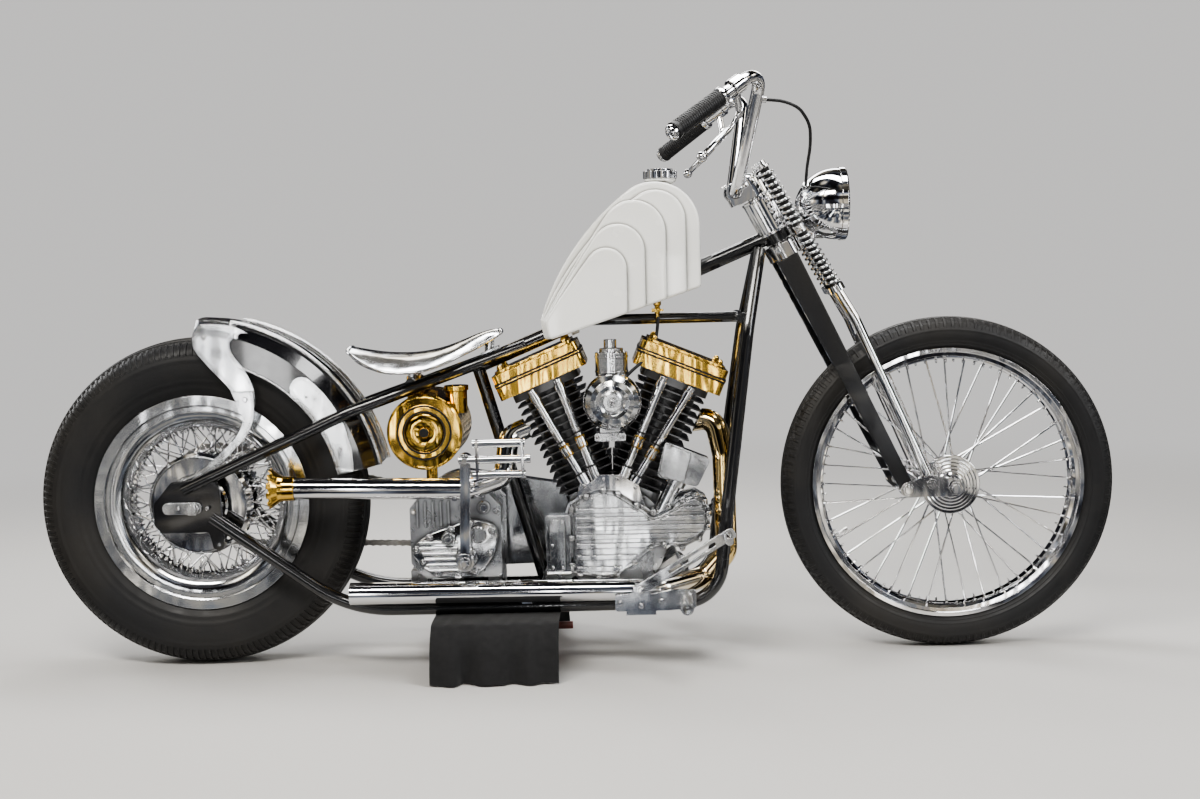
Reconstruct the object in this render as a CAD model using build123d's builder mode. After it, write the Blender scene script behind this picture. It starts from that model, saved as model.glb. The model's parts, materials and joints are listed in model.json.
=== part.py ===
"""Rigid-frame chopper motorcycle with a sprung girder-style fork, on a low scissor jack.

Millimetres. +X is forward, +Y is the rider's left, +Z is up. The origin is on the
floor, midway between the foremost and rearmost points of the tyres.
"""
from build123d import *
import os
from math import atan2, cos, degrees, hypot, pi, radians, sin, sqrt, tan

os.makedirs("parts", exist_ok=True)

# Clearances
seat_gap = 0.3        # between pieces that seat on each other
shaft_gap = 0.4       # round a shaft that turns

# Wheels: the rear tyre's front and the front axle keep their places on the frame,
# which gives a wheelbase of 1550
rear_tyre_front_x, front_x = -433.0, 774.0
rear_tyre_r, rear_tyre_w = 343.0, 130.0
front_tyre_r, front_tyre_w = 345.0, 80.0
rear_rim_r, rear_rim_w = 224.0, 104.0
front_rim_r, front_rim_w = 281.0, 60.0
rim_t = 4.0
rear_axle_r, front_axle_r = 9.5, 9.0
spoke_r, spoke_count = 1.9, 40
rear_well_r, rear_drum_r = 156.0, 106.0
front_well_r, front_hub_r = 262.0, 38.0
hub_cover_r = 61.0

rear_x, rear_z = rear_tyre_front_x - rear_tyre_r, rear_tyre_r
front_z = front_tyre_r

# Engine
crank_x, crank_z = 78.0, 252.0
bank = 22.5
case_r, case_y = 110.0, 75.0
deck_h, fin_top_h = 118.0, 340.0
fin_t, fin_count = 3.0, 13
head_cap_t, cover_low_t, cover_high_t = 13.0, 31.0, 28.0
cover_half_x, cover_half_y = 95.0, 88.0
cover_low_h = fin_top_h + head_cap_t
cover_split_h = cover_low_h + cover_low_t
cover_top_h = cover_split_h + cover_high_t
# Height of the rocker covers' inner corners: the spine, tank, seat and head stand on it
top_z = crank_z + cover_top_h * cos(radians(bank)) + cover_half_x * sin(radians(bank))

# Steering head and fork, in fork terms: offset ahead of the steering axis, then
# distance up it from the head's datum
rake = 27.5
head_x, head_z = 409.0, top_z + 233.0
head_r, head_bore_r, stem_r = 28.0, 17.0, 16.5
head_low, head_high = -54.0, 46.0
crown_t, ear_lean = 30.0, 0.052
leg_top_y, leg_foot_y, leg_t = 62.0, 78.0, 20.0
leg_top_w, leg_foot_w = 46.0, 28.0
spring_y, spring_r = 50.0, 16.5
spring_top_s, spring_low_s = 93.0, -186.0
spring_turns = 12
spring_rod_r, spring_leg_r = 6.0, 10.0
rocker_t = 12.0
axle_dx, axle_dz = front_x - head_x, front_z - head_z
axle_offset = axle_dx * cos(radians(rake)) + axle_dz * sin(radians(rake))
axle_s = axle_dz * cos(radians(rake)) - axle_dx * sin(radians(rake))
leg_foot_offset, leg_foot_s = axle_offset - 84.6, axle_s + 41.6
foot_offset, foot_s, foot_r = axle_offset - 37.1, axle_s + 30.6, 12.0

# Frame tubes
backbone_r, stay_r, rail_r, cross_r = 16.0, 12.5, 13.5, 11.0
rail_y, stay_y, rail_z = 125.0, 112.0, 127.0
plate_t = 10.0


def side_plane(y):
    """Plane across the bike at y: local x is forward, local y is up, normal is -Y."""
    return Plane.XZ.offset(-y)


def fork_point(offset, up, y=0.0):
    """Point given by its offset ahead of the steering axis and its height along it."""
    c, s = cos(radians(rake)), sin(radians(rake))
    return (head_x + offset * c - up * s, y, head_z + offset * s + up * c)


def fork_plane(y):
    """Plane in fork terms at y: local x is the offset, local y runs up the axis."""
    c, s = cos(radians(rake)), sin(radians(rake))
    return Plane((head_x, y, head_z), x_dir=(c, 0, s), z_dir=(0, -1, 0))


def fork_level(up):
    """Plane square to the steering axis: local x is the offset, local y is +Y."""
    c, s = cos(radians(rake)), sin(radians(rake))
    return Plane(fork_point(0, up), x_dir=(c, 0, s), z_dir=(-s, 0, c))


def bank_plane(side, up=0.0):
    """Plane square to a cylinder's axis at a height above the crank; side is -1 or 1."""
    c, s = cos(radians(bank)), side * sin(radians(bank))
    origin = (crank_x + up * s, 0, crank_z + up * c)
    return Plane(origin, x_dir=(c, 0, -s), z_dir=(s, 0, c))


def bank_point(side, across, up, y=0.0):
    """Point given by its distance across a cylinder's axis and its height above the crank."""
    c, s = cos(radians(bank)), side * sin(radians(bank))
    return (crank_x + across * c + up * s, y, crank_z - across * s + up * c)


def pipe(points, radius, bend=0.0, mode=Mode.ADD):
    """Round tube along straight runs joined by arcs of the bend radius."""
    with BuildLine() as path:
        if bend:
            FilletPolyline(*points, radius=bend)
        else:
            Line(*points)
    with BuildSketch(Plane(path.line @ 0, z_dir=path.line % 0)) as section:
        Circle(radius)
    sweep(section.sketch, path=path.line, mode=mode)


def rod(start, end, radius, mode=Mode.ADD):
    """Straight round rod between two points."""
    run = Vector(end) - Vector(start)
    with BuildSketch(Plane(start, z_dir=run)) as section:
        Circle(radius)
    extrude(section.sketch, amount=run.length, mode=mode)


def drum(x, z, radius, y_low, y_high, mode=Mode.ADD):
    """Cylinder across the bike between two y values."""
    with BuildSketch(side_plane(y_high)) as section:
        with Locations((x, z)):
            Circle(radius)
    extrude(section.sketch, amount=y_high - y_low, mode=mode)


def plate(points, y_low, y_high, corner=0.0, mode=Mode.ADD):
    """Flat plate of a side outline between two y values, its corners rounded."""
    with BuildSketch(side_plane(y_high)) as outline:
        with BuildLine():
            if corner:
                FilletPolyline(*points, radius=corner, close=True)
            else:
                Polyline(*points, close=True)
        make_face()
    extrude(outline.sketch, amount=y_high - y_low, mode=mode)


def flat_bar(start, end, width, y_low, y_high, corner=0.0, mode=Mode.ADD):
    """Straight flat bar in the side view between two (x, z) points."""
    run = hypot(end[0] - start[0], end[1] - start[1])
    nx = -(end[1] - start[1]) / run * width / 2
    nz = (end[0] - start[0]) / run * width / 2
    corners = [
        (start[0] + nx, start[1] + nz), (end[0] + nx, end[1] + nz),
        (end[0] - nx, end[1] - nz), (start[0] - nx, start[1] - nz),
    ]
    plate(corners, y_low, y_high, corner, mode)


def strap(points, width, y_low, y_high, bend, mode=Mode.ADD):
    """Flat bar bent in the side view along a line of (x, z) corners."""
    middle = (y_low + y_high) / 2
    with BuildLine() as path:
        FilletPolyline(*[(x, middle, z) for x, z in points], radius=bend)
    start = Plane(path.line @ 0, x_dir=(0, 1, 0), z_dir=path.line % 0)
    with BuildSketch(start) as section:
        Rectangle(y_high - y_low, width)
    sweep(section.sketch, path=path.line, mode=mode)


def turned(points, x, z, mode=Mode.ADD):
    """Solid of revolution about a wheel axis, from (y, radius) corners."""
    with BuildSketch(Plane((x, 0, z), x_dir=(0, 1, 0), z_dir=(1, 0, 0))) as section:
        with BuildLine():
            Polyline(*points, close=True)
        make_face()
    revolve(section.sketch, axis=Axis((x, 0, z), (0, 1, 0)), mode=mode)


def tyre_ring(x, z, radius, width, rim_radius, rim_width, mode=Mode.ADD):
    """Tyre section: crown arc, shoulders, bulging walls and beads on the rim."""
    half, bead, bulge = width / 2, rim_width / 2 - rim_t, (radius + rim_radius) / 2
    with BuildSketch(Plane((x, 0, z), x_dir=(0, 1, 0), z_dir=(1, 0, 0))) as section:
        with BuildLine():
            shoulder = radius - 0.12 * width
            ThreePointArc((-0.4 * width, shoulder), (0, radius), (0.4 * width, shoulder))
            for side in (-1, 1):
                Line((side * 0.4 * width, shoulder), (side * (half - 3), shoulder - 0.1 * width))
                ThreePointArc(
                    (side * (half - 3), shoulder - 0.1 * width),
                    (side * half, bulge),
                    (side * bead, rim_radius + seat_gap),
                )
                Line(
                    (side * bead, rim_radius + seat_gap),
                    (side * bead, rim_radius - 14),
                )
            Line((-bead, rim_radius - 14), (bead, rim_radius - 14))
        make_face()
    revolve(section.sketch, axis=Axis((x, 0, z), (0, 1, 0)), mode=mode)


def spokes(x, z, hub_radius, rim_radius, hub_y, rim_y, lead):
    """Crossed wire spokes: alternate sides, each pair leaning opposite ways."""
    step = 360 / spoke_count
    seats = []
    for k in range(spoke_count):
        side, lean = (1, -1)[k % 2], (1, -1)[(k // 2) % 2]
        inset = 2.2 * lean
        rim_a, hub_a = radians(k * step), radians(k * step + lean * lead)
        foot = Vector(
            x + hub_radius * cos(hub_a), side * (hub_y + inset), z + hub_radius * sin(hub_a)
        )
        tip = Vector(x + rim_radius * cos(rim_a), side * rim_y, z + rim_radius * sin(rim_a))
        seats.append((Plane(foot, z_dir=tip - foot), (tip - foot).length))
    for chosen in (seats[0::4] + seats[1::4], seats[2::4] + seats[3::4]):
        with BuildSketch(*[plane for plane, _ in chosen]) as section:
            RegularPolygon(spoke_r, 6)
        extrude(section.sketch, amount=chosen[0][1])


# Frame spine: head tube and backbone
backbone_tail = (-205.0, 0.0, top_z - 61.0)
neck_joint = fork_point(8 - head_r, -37)
backbone_run = (Vector(neck_joint) - Vector(backbone_tail)).normalized()
brace_z, brace_tail_x, brace_nose_x = top_z + 31.0, 36.0, 349.0
post_top = (-196.0, 0.0, top_z - 63.0)
post_foot = (-64.0, 0.0, rail_z + cross_r)
with BuildPart() as frame_spine:
    rod(fork_point(0, head_low), fork_point(0, head_high), head_r)
    rod(backbone_tail, neck_joint, backbone_r)
    rod(fork_point(0, head_low - 1), fork_point(0, head_high + 1), head_bore_r, Mode.SUBTRACT)
frame_spine.part.label = "frame_spine"
export_step(frame_spine.part, "parts/frame_spine.step")

# Seat post and the lower brace under the tank, both cut to fit the backbone
with BuildPart() as frame_struts:
    rod(post_top, post_foot, rail_r)
    rod((brace_tail_x, 0, brace_z), (brace_nose_x, 0, brace_z), cross_r)
    rod((brace_nose_x, -30, brace_z), (brace_nose_x, 30, brace_z), cross_r + seat_gap, Mode.SUBTRACT)
    rod(backbone_tail, neck_joint, backbone_r + seat_gap, Mode.SUBTRACT)
frame_struts.part.label = "frame_struts"
export_step(frame_struts.part, "parts/frame_struts.step")

# Twin front downtubes, from the head to the cradle's front corners
foot_x, foot_z, foot_lean = 298.0, 215.0, 13.0 / 114.0
down_path = [
    (head_x - 17, 16, head_z - 64),
    (head_x - 49, 76, head_z - 226),
    (foot_x + 114 * foot_lean, rail_y, foot_z + 114),
    (foot_x, rail_y, foot_z),
]
with BuildPart() as frame_downtubes:
    pipe(down_path, rail_r, 120)
    mirror(about=Plane.XZ)
    rod((brace_nose_x, -78, brace_z), (brace_nose_x, 78, brace_z), cross_r)
    rod(fork_point(0, head_low - 2), fork_point(0, head_high), head_r + seat_gap, Mode.SUBTRACT)
    rod(fork_point(0, head_low - 60), fork_point(0, head_low - 1), 43.5, Mode.SUBTRACT)
    rod(backbone_tail, neck_joint, backbone_r + seat_gap, Mode.SUBTRACT)
frame_downtubes.part.label = "frame_downtubes"
export_step(frame_downtubes.part, "parts/frame_downtubes.step")

# Cradle: lower rails that rise into the rear stays, with cross tubes between them
rail_start = (foot_x - seat_gap * foot_lean, rail_y, foot_z - seat_gap)
rail_corner = (foot_x - (foot_z - rail_z) * foot_lean, rail_y, rail_z)
rise_x = -463.0
rail_path = [
    rail_start, rail_corner, (rise_x, rail_y, rail_z), (rear_x + 36, stay_y, rear_z - 21),
]
engine_cross_xs, gearbox_cross_xs = (215.0, -64.0), (-330.0, -170.0)
# outline from the rear axle: forward, up
plate_offsets = (
    (-81, -35), (-81, 9), (-44, 53), (34, 61), (54, 41), (60, -87), (38, -87), (30, -51), (-66, -51),
)
axle_plate = [(rear_x + x, rear_z + z) for x, z in plate_offsets]
plate_corner = 8.0
strut_bolt, bolt_r = (rear_x - 27, rear_z + 45), 6.0
lug_hole, lug_hole_r = (rear_x + 49, rear_z - 77), 4.0
plate_low, plate_high = stay_y - plate_t / 2, stay_y + plate_t / 2
with BuildPart() as frame_cradle:
    with BuildLine() as path:
        FilletPolyline(*rail_path, radius=[80, 280])
    with BuildSketch(Plane(path.line @ 0, z_dir=path.line % 0)):
        Circle(rail_r)
    sweep(path=path.line)
    plate(axle_plate, plate_low - seat_gap, plate_high + seat_gap, plate_corner, Mode.SUBTRACT)
    mirror(about=Plane.XZ)
    for x in engine_cross_xs + gearbox_cross_xs:
        rod((x, -rail_y, rail_z), (x, rail_y, rail_z), cross_r)
    rod(post_top, post_foot, rail_r + seat_gap, Mode.SUBTRACT)
frame_cradle.part.label = "frame_cradle"
export_step(frame_cradle.part, "parts/frame_cradle.step")

# Upper stays, from the seat joint to the axle plates, and the seat's cross tube
seat_cross_x, seat_cross_z = -330.0, top_z - 87.0
with BuildPart() as frame_stays:
    pipe([(-96, 20, top_z - 17), (-450, 100, top_z - 138), (rear_x - 21, stay_y, rear_z + 36)],
         stay_r, 200)
    drum(*strut_bolt, bolt_r + seat_gap, stay_y - 20, stay_y, Mode.SUBTRACT)
    plate(axle_plate, plate_low - seat_gap, plate_high + seat_gap, plate_corner, Mode.SUBTRACT)
    mirror(about=Plane.XZ)
    rod((seat_cross_x, -76, seat_cross_z), (seat_cross_x, 76, seat_cross_z), cross_r)
    rod(backbone_tail, neck_joint, backbone_r + seat_gap, Mode.SUBTRACT)
    rod(post_top, post_foot, rail_r + seat_gap, Mode.SUBTRACT)
frame_stays.part.label = "frame_stays"
export_step(frame_stays.part, "parts/frame_stays.step")

# Axle plates at the ends of the stays, drilled for the axle and with a lug below
with BuildPart() as axle_plates:
    plate(axle_plate, plate_low, plate_high, plate_corner)
    drum(*lug_hole, lug_hole_r, plate_low - 1, plate_high + 1, Mode.SUBTRACT)
    drum(rear_x, rear_z, rear_axle_r + seat_gap, plate_low - 1, plate_high + 1, Mode.SUBTRACT)
    mirror(about=Plane.XZ)
axle_plates.part.label = "axle_plates"
export_step(axle_plates.part, "parts/axle_plates.step")

# Rear axle with its spacers, slotted adjuster blocks and nuts
rear_hub_low, rear_hub_high = -82.0, 92.0
block_back, block_front, block_half_h, block_t = 62.0, 18.0, 12.0, 6.7
nut_low, nut_t, nut_r, axle_proud = plate_high + seat_gap + block_t, 8.0, 15.0, 4.0
axle_end = nut_low + nut_t + axle_proud
with BuildPart() as rear_axle:
    drum(rear_x, rear_z, rear_axle_r, -axle_end, axle_end)
    drum(rear_x, rear_z, 16, -plate_low + seat_gap, rear_hub_low - shaft_gap)
    drum(rear_x, rear_z, 16, rear_hub_high + shaft_gap, plate_low - seat_gap)
    for low, high in ((plate_high + seat_gap, nut_low), (-nut_low, -plate_high - seat_gap)):
        plate([(rear_x - block_back, rear_z - block_half_h), (rear_x - block_back, rear_z + block_half_h),
               (rear_x + block_front, rear_z + block_half_h),
               (rear_x + block_front, rear_z - block_half_h)], low, high, 11)
    for y in (-nut_low, nut_low + nut_t):
        with BuildSketch(side_plane(y)):
            with Locations((rear_x, rear_z)):
                RegularPolygon(nut_r, 6)
        extrude(amount=nut_t)
rear_axle.part.label = "rear_axle"
export_step(rear_axle.part, "parts/rear_axle.step")

# Tank: nested slices across the bike, each lower and shorter than the one inside it
# half width, tail x, then the round crest: centre x, centre above the engine's top,
# radius, and the angle from level at which the flank meets it
tank_slices = (
    (76, -61, 176, 219, 92, 37),
    (92, -58, 177, 233, 61, 35),
    (108, -55, 132, 209, 65, 55),
    (124, -52, 100, 173, 54, 56),
    (140, -49, 76, 139, 41, 52),
)
tank_low_z, tank_slope, tank_tail_h = top_z - 6.0, 0.318, 41.0
step_r, tank_corner_r = 6.0, 8.0
filler_x, filler_z, filler_top = 191.0, top_z + 300.0, top_z + 319.0
tunnel_gap, saddle_t = 5.0, 16.0


def tank_slice(half, tail_x, crest_x, crest_up, crest_r, lean):
    """One slice of the tank: flank, round crest, upright front and sloping underside."""
    a, crest_z, nose_x = radians(lean), top_z + crest_up, crest_x + crest_r
    heel = (tail_x + 8, tank_low_z + (tail_x + 62) * tank_slope)
    tail = (tail_x, tank_low_z + tank_tail_h)
    nose = (nose_x, tank_low_z + (nose_x + 54) * tank_slope)
    joint = (crest_x - crest_r * sin(a), crest_z + crest_r * cos(a))
    shoulder = (crest_x + crest_r * cos(pi / 4), crest_z + crest_r * sin(pi / 4))
    with BuildPart(mode=Mode.PRIVATE) as slab:
        with BuildSketch(side_plane(half)) as outline:
            with BuildLine():
                Line(heel, tail)
                TangentArc(joint, tail, tangent=(-cos(a), -sin(a)))
                ThreePointArc(joint, shoulder, (nose_x, crest_z))
                Polyline((nose_x, crest_z), nose, heel)
            make_face()
            fillet(outline.vertices().sort_by(Axis.Y)[:3], tank_corner_r)
        extrude(amount=2 * half)
        fillet(slab.faces().filter_by(Axis.Y).edges(), step_r)
    add(slab.part)


with BuildPart() as tank:
    for row in tank_slices:
        tank_slice(*row)
    with BuildSketch(Plane((filler_x, 0, 0), x_dir=(1, 0, 0), z_dir=(0, -1, 0))) as neck:
        with BuildLine():
            Polyline((0, filler_z - 15), (26, filler_z - 15), (23, filler_z), (25, filler_z + 7),
                     (33, filler_top - 5), (33, filler_top), (0, filler_top), close=True)
        make_face()
    revolve(neck.sketch, axis=Axis((filler_x, 0, 0), (0, 0, 1)))
    rod(backbone_tail, neck_joint, backbone_r + tunnel_gap, Mode.SUBTRACT)
    plate(
        [(-120, top_z - 109), (-120, top_z - 27), (320, top_z + 151), (320, top_z - 109)],
        -backbone_r - tunnel_gap,
        backbone_r + tunnel_gap,
        0,
        Mode.SUBTRACT,
    )
    for along in (215, 420):
        start = Vector(backbone_tail) + along * backbone_run
        rod(start, start + saddle_t * backbone_run, backbone_r + tunnel_gap + 1)
    rod(backbone_tail, neck_joint, backbone_r + seat_gap, Mode.SUBTRACT)
tank.part.label = "tank"
export_step(tank.part, "parts/tank.step")

# Filler cap with a knurled rim
cap_r, cap_t, cap_flutes = 35.0, 20.0, 18
with BuildPart() as tank_cap:
    with BuildSketch(Plane.XY.offset(filler_top + seat_gap)):
        with Locations((filler_x, 0)):
            Circle(cap_r)
            with PolarLocations(cap_r + 1, cap_flutes):
                Circle(2.5, mode=Mode.SUBTRACT)
    extrude(amount=cap_t - 5)
    rod((filler_x, 0, filler_top + cap_t - 5.2), (filler_x, 0, filler_top + cap_t), cap_r - 9)
tank_cap.part.label = "tank_cap"
export_step(tank_cap.part, "parts/tank_cap.step")

# Seat: crowned sheet through five sections, on two posts and a tongue to the backbone
# x, half width, centre height above the engine's top, drop at the edge
seat_sections = (
    (-456, 62, -12, 8),
    (-385, 118, -24, 30),
    (-300, 122, -23, 32),
    (-215, 74, 2, 26),
    (-152, 34, 19, 10),
)
pan_t, post_y, tongue_x = 5.0, 45.0, -172.0
with BuildPart() as seat:
    for x, half, rise, drop in seat_sections:
        z = top_z + rise
        with BuildSketch(Plane((x, 0, 0), x_dir=(0, 1, 0), z_dir=(1, 0, 0))):
            with BuildLine():
                ThreePointArc((-half, z - drop), (0, z), (half, z - drop))
                Line((half, z - drop), (half, z - drop - pan_t))
                ThreePointArc((half, z - drop - pan_t), (0, z - pan_t), (-half, z - drop - pan_t))
                Line((-half, z - drop - pan_t), (-half, z - drop))
            make_face()
    loft()
    for y in (-post_y, post_y):
        rod((seat_cross_x, y, seat_cross_z), (seat_cross_x, y, top_z - 30), 8)
    rod((tongue_x, 0, top_z - 49), (tongue_x, 0, top_z + 11), 10)
    plate([(-190, top_z - 42), (-190, top_z - 32), (-152, top_z - 16), (-152, top_z - 26)], -16, 16)
    rod((seat_cross_x, -76, seat_cross_z), (seat_cross_x, 76, seat_cross_z), cross_r + seat_gap,
        Mode.SUBTRACT)
    rod(backbone_tail, neck_joint, backbone_r + seat_gap, Mode.SUBTRACT)
seat.part.label = "seat"
export_step(seat.part, "parts/seat.step")

# Rear fender: a channel round the tyre, with its sides
fender_gap, fender_depth, fender_y, fender_t = 39.0, 86.0, 84.0, 3.0
fender_r = rear_tyre_r + fender_gap
skirt_r = fender_r - fender_depth
fender_from, fender_to = 11.0, 76.0
fender_profile = [
    (-fender_y, skirt_r), (-fender_y, fender_r - 30), (-fender_y + 26, fender_r - 3),
    (0, fender_r), (fender_y - 26, fender_r - 3), (fender_y, fender_r - 30), (fender_y, skirt_r),
]


def fender_shell(profile, thickness, start, end):
    """Sheet of a profile across the bike, turned round the rear axle from start to end."""
    a = radians(start)
    half, low = profile[-1]
    inner = [(y * (1 - thickness / half), r - thickness) for y, r in reversed(profile[1:-1])]
    lip = half - thickness
    outline = profile + [(lip, low)] + inner + [(-lip, low)]
    plane = Plane((rear_x, 0, rear_z), x_dir=(0, 1, 0), z_dir=(sin(a), 0, -cos(a)))
    with BuildSketch(plane) as section:
        with BuildLine():
            Polyline(*outline, close=True)
        make_face()
    axis = Axis((rear_x, 0, rear_z), (0, -1, 0))
    revolve(section.sketch, axis=axis, revolution_arc=end - start)


with BuildPart() as rear_fender:
    fender_shell(fender_profile, fender_t, fender_from, fender_to)
rear_fender.part.label = "rear_fender"
export_step(rear_fender.part, "parts/rear_fender.step")

# Polished fender trim: a band over its rear end, with brackets that curve down into
# struts to the axle plates, beads along its edges, and a leaf on the front of each side
bracket_y, bracket_t, strut_y, strut_t = 84.3, 4.0, 93.0, 4.2
band_y, band_r, band_from, band_to, band_drop = 88.3, fender_r + 2, 77.0, 88.5, 47.0
band_profile = [
    (-band_y, band_r - band_drop), (-band_y, band_r - 30), (-band_y + 26, band_r - 3),
    (0, band_r), (band_y - 26, band_r - 3), (band_y, band_r - 30), (band_y, band_r - band_drop),
]
skirt_bead_r, shoulder_bead_r, shoulder_y = 2.2, 4.0, 60.0
leaf_t, leaf_low, leaf_high, leaf_tail = 2.0, 5.0, 54.0, 34.0
trim_r = 382.0        # fender radius that the bracket and strut outlines are drawn for


def trim_spots(*offsets):
    """Side-view points from offsets forward and up from the rear axle, grown with the fender."""
    grow = fender_r / trim_r
    return [(rear_x + x * grow, rear_z + z * grow) for x, z in offsets]


bracket_crest = trim_spots((8, 355), (19, 369), (48, 373), (92, 365), (120, 351))
bracket_front = trim_spots((120, 351), (94, 346), (82, 331), (88, 307), (106, 282), (120, 257),
                           (128, 231), (128, 203))
bracket_rear = trim_spots((96, 203), (81, 234), (54, 266), (25, 298), (8, 325), (8, 355))
strut_front = trim_spots((126, 233), (128, 203), (125, 177), (114, 150), (88, 120), (55, 87),
                         (18, 61), (-20, 33))
strut_rear = trim_spots((-28, 58), (24, 84), (65, 117), (97, 154), (104, 177), (96, 204), (82, 233))
strut_boss = trim_spots((111, 217))[0]


def axle_spot(radius, angle):
    """Point in the side view at a distance and an angle from the rear axle."""
    return (rear_x + radius * cos(radians(angle)), rear_z + radius * sin(radians(angle)))


def bead(y, radius, wire_r, start, end):
    """Round bead along the fender, round the rear axle from start to end."""
    a = radians(start)
    plane = Plane((rear_x, 0, rear_z), x_dir=(0, 1, 0), z_dir=(sin(a), 0, -cos(a)))
    with BuildSketch(plane) as section:
        with Locations((y, radius)):
            Circle(wire_r)
    axis = Axis((rear_x, 0, rear_z), (0, -1, 0))
    revolve(section.sketch, axis=axis, revolution_arc=end - start)


with BuildPart() as fender_trim:
    with BuildSketch(side_plane(bracket_y + bracket_t)):
        with BuildLine():
            Spline(*bracket_crest)
            Spline(*bracket_front)
            Line(bracket_front[-1], bracket_rear[0])
            Spline(*bracket_rear)
        make_face()
    extrude(amount=bracket_t)
    with BuildSketch(side_plane(strut_y + strut_t)):
        with BuildLine():
            Spline(*strut_front)
            Line(strut_front[-1], strut_rear[0])
            Spline(*strut_rear)
            Line(strut_rear[-1], strut_front[0])
        make_face()
    extrude(amount=strut_t)
    drum(*strut_bolt, 13, strut_y, strut_y + strut_t)
    drum(*strut_bolt, bolt_r, strut_y, plate_low - seat_gap)
    drum(*strut_boss, 12, bracket_y, strut_y + strut_t)
    with BuildSketch(side_plane(bracket_y + leaf_t)):
        with BuildLine():
            low, high, tail = skirt_r + leaf_low, skirt_r + leaf_high, skirt_r + leaf_tail
            ThreePointArc(axle_spot(low, fender_from), axle_spot(low, 28), axle_spot(low, 45))
            ThreePointArc(axle_spot(low, 45), axle_spot(low + 25, 50.5), axle_spot(high, 46))
            ThreePointArc(axle_spot(high, 46), axle_spot(high - 2, 30), axle_spot(tail, fender_from))
            Line(axle_spot(tail, fender_from), axle_spot(low, fender_from))
        make_face()
    extrude(amount=leaf_t)
    bead(bracket_y + skirt_bead_r, skirt_r + 3, skirt_bead_r, fender_from, 71.5)
    bead(shoulder_y, fender_r + 1.2, shoulder_bead_r, fender_from, band_from + 1)
    mirror(about=Plane.XZ)
    fender_shell(band_profile, fender_t + 0.3, band_from, band_to)
fender_trim.part.label = "fender_trim"
export_step(fender_trim.part, "parts/fender_trim.step")

# Rear wheel: tyre, polished rim, and a hub with drum, sprocket and spokes
with BuildPart() as rear_tyre:
    tyre_ring(rear_x, rear_z, rear_tyre_r, rear_tyre_w, rear_rim_r, rear_rim_w)
rear_tyre.part.label = "rear_tyre"
export_step(rear_tyre.part, "parts/rear_tyre.step")

rear_seat_r, dish_y = rear_rim_r - 14, 46.0
with BuildPart() as rear_rim:
    with BuildSketch(Plane((rear_x, 0, rear_z), x_dir=(0, 1, 0), z_dir=(1, 0, 0))):
        with BuildLine():
            Line((0, rear_well_r), (20, rear_well_r))
            ThreePointArc((20, rear_well_r), (38, rear_well_r + 13), (dish_y, rear_well_r + 40))
            Polyline((dish_y, rear_well_r + 40), (dish_y, 202), (52, 204), (52, rear_rim_r),
                     (48, rear_rim_r), (48, rear_seat_r), (30, rear_seat_r), (18, rear_well_r + 6),
                     (0, rear_well_r + 6))
            mirror(about=Plane.YZ)
        make_face()
    revolve(axis=Axis((rear_x, 0, rear_z), (0, 1, 0)))
rear_rim.part.label = "rear_rim"
export_step(rear_rim.part, "parts/rear_rim.step")

chain_y, sprocket_t, sprocket_teeth = 84.0, 5.0, 48
rear_pitch_r, tooth_r, root_r = 105.0, 97.0, 92.0
rear_bore_r = rear_axle_r + shaft_gap
window_count, window_r, window_w = 4, 80.0, 22.0
rear_hub_profile = [
    (-82, rear_bore_r), (-82, 20), (-75, 20), (-75, 56), (-72, 60), (-72, 98), (-64, rear_drum_r),
    (-42, rear_drum_r), (-34, 98), (-34, 44), (34, 44), (34, 98), (42, 98), (66, 88), (78, 60),
    (86, 56), (90, 22), (rear_hub_high, 20), (rear_hub_high, rear_bore_r),
]
with BuildPart() as rear_hub:
    turned(rear_hub_profile, rear_x, rear_z)
    spokes(rear_x, rear_z, 94, rear_well_r - 1.2, 38, 10, 24)
    teeth = []
    for k in range(sprocket_teeth):
        for share, radius in ((0.0, root_r), (0.3, root_r), (0.5, tooth_r), (0.8, tooth_r)):
            a = radians((k + share) * 360 / sprocket_teeth)
            teeth.append((rear_x + radius * cos(a), rear_z + radius * sin(a)))
    plate(teeth, chain_y - sprocket_t / 2, chain_y + sprocket_t / 2)
    with BuildSketch(side_plane(rear_hub_low + 1)) as windows:
        with Locations((rear_x, rear_z)):
            with PolarLocations(0, window_count):
                SlotArc(CenterArc((0, 0), window_r, 0, 55), window_w)
    extrude(windows.sketch, amount=-18, mode=Mode.SUBTRACT)
    drum(rear_x, rear_z, rear_bore_r, rear_hub_low - 1, rear_hub_high + 1, Mode.SUBTRACT)
rear_hub.part.label = "rear_hub"
export_step(rear_hub.part, "parts/rear_hub.step")

# Final drive chain: a core strip along the pitch line with a block at every other link
drive_x, drive_z, drive_pitch_r = -240.0, 270.0, 48.0
link_count, link_h, link_w, link_l, core_w, core_h = 49, 11.0, 16.0, 14.0, 7.0, 7.0
chain_run = hypot(drive_x - rear_x, drive_z - rear_z)
chain_slope = degrees(atan2(drive_z - rear_z, drive_x - rear_x))
chain_spread = degrees(atan2(sqrt(chain_run ** 2 - (rear_pitch_r - drive_pitch_r) ** 2),
                             rear_pitch_r - drive_pitch_r))
chain_straight = sqrt(chain_run ** 2 - (rear_pitch_r - drive_pitch_r) ** 2)
rear_wrap, drive_wrap = 360 - 2 * chain_spread, 2 * chain_spread


def polar(x, z, radius, angle):
    """Point on a circle in the side view."""
    return (x + radius * cos(radians(angle)), z + radius * sin(radians(angle)))


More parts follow.
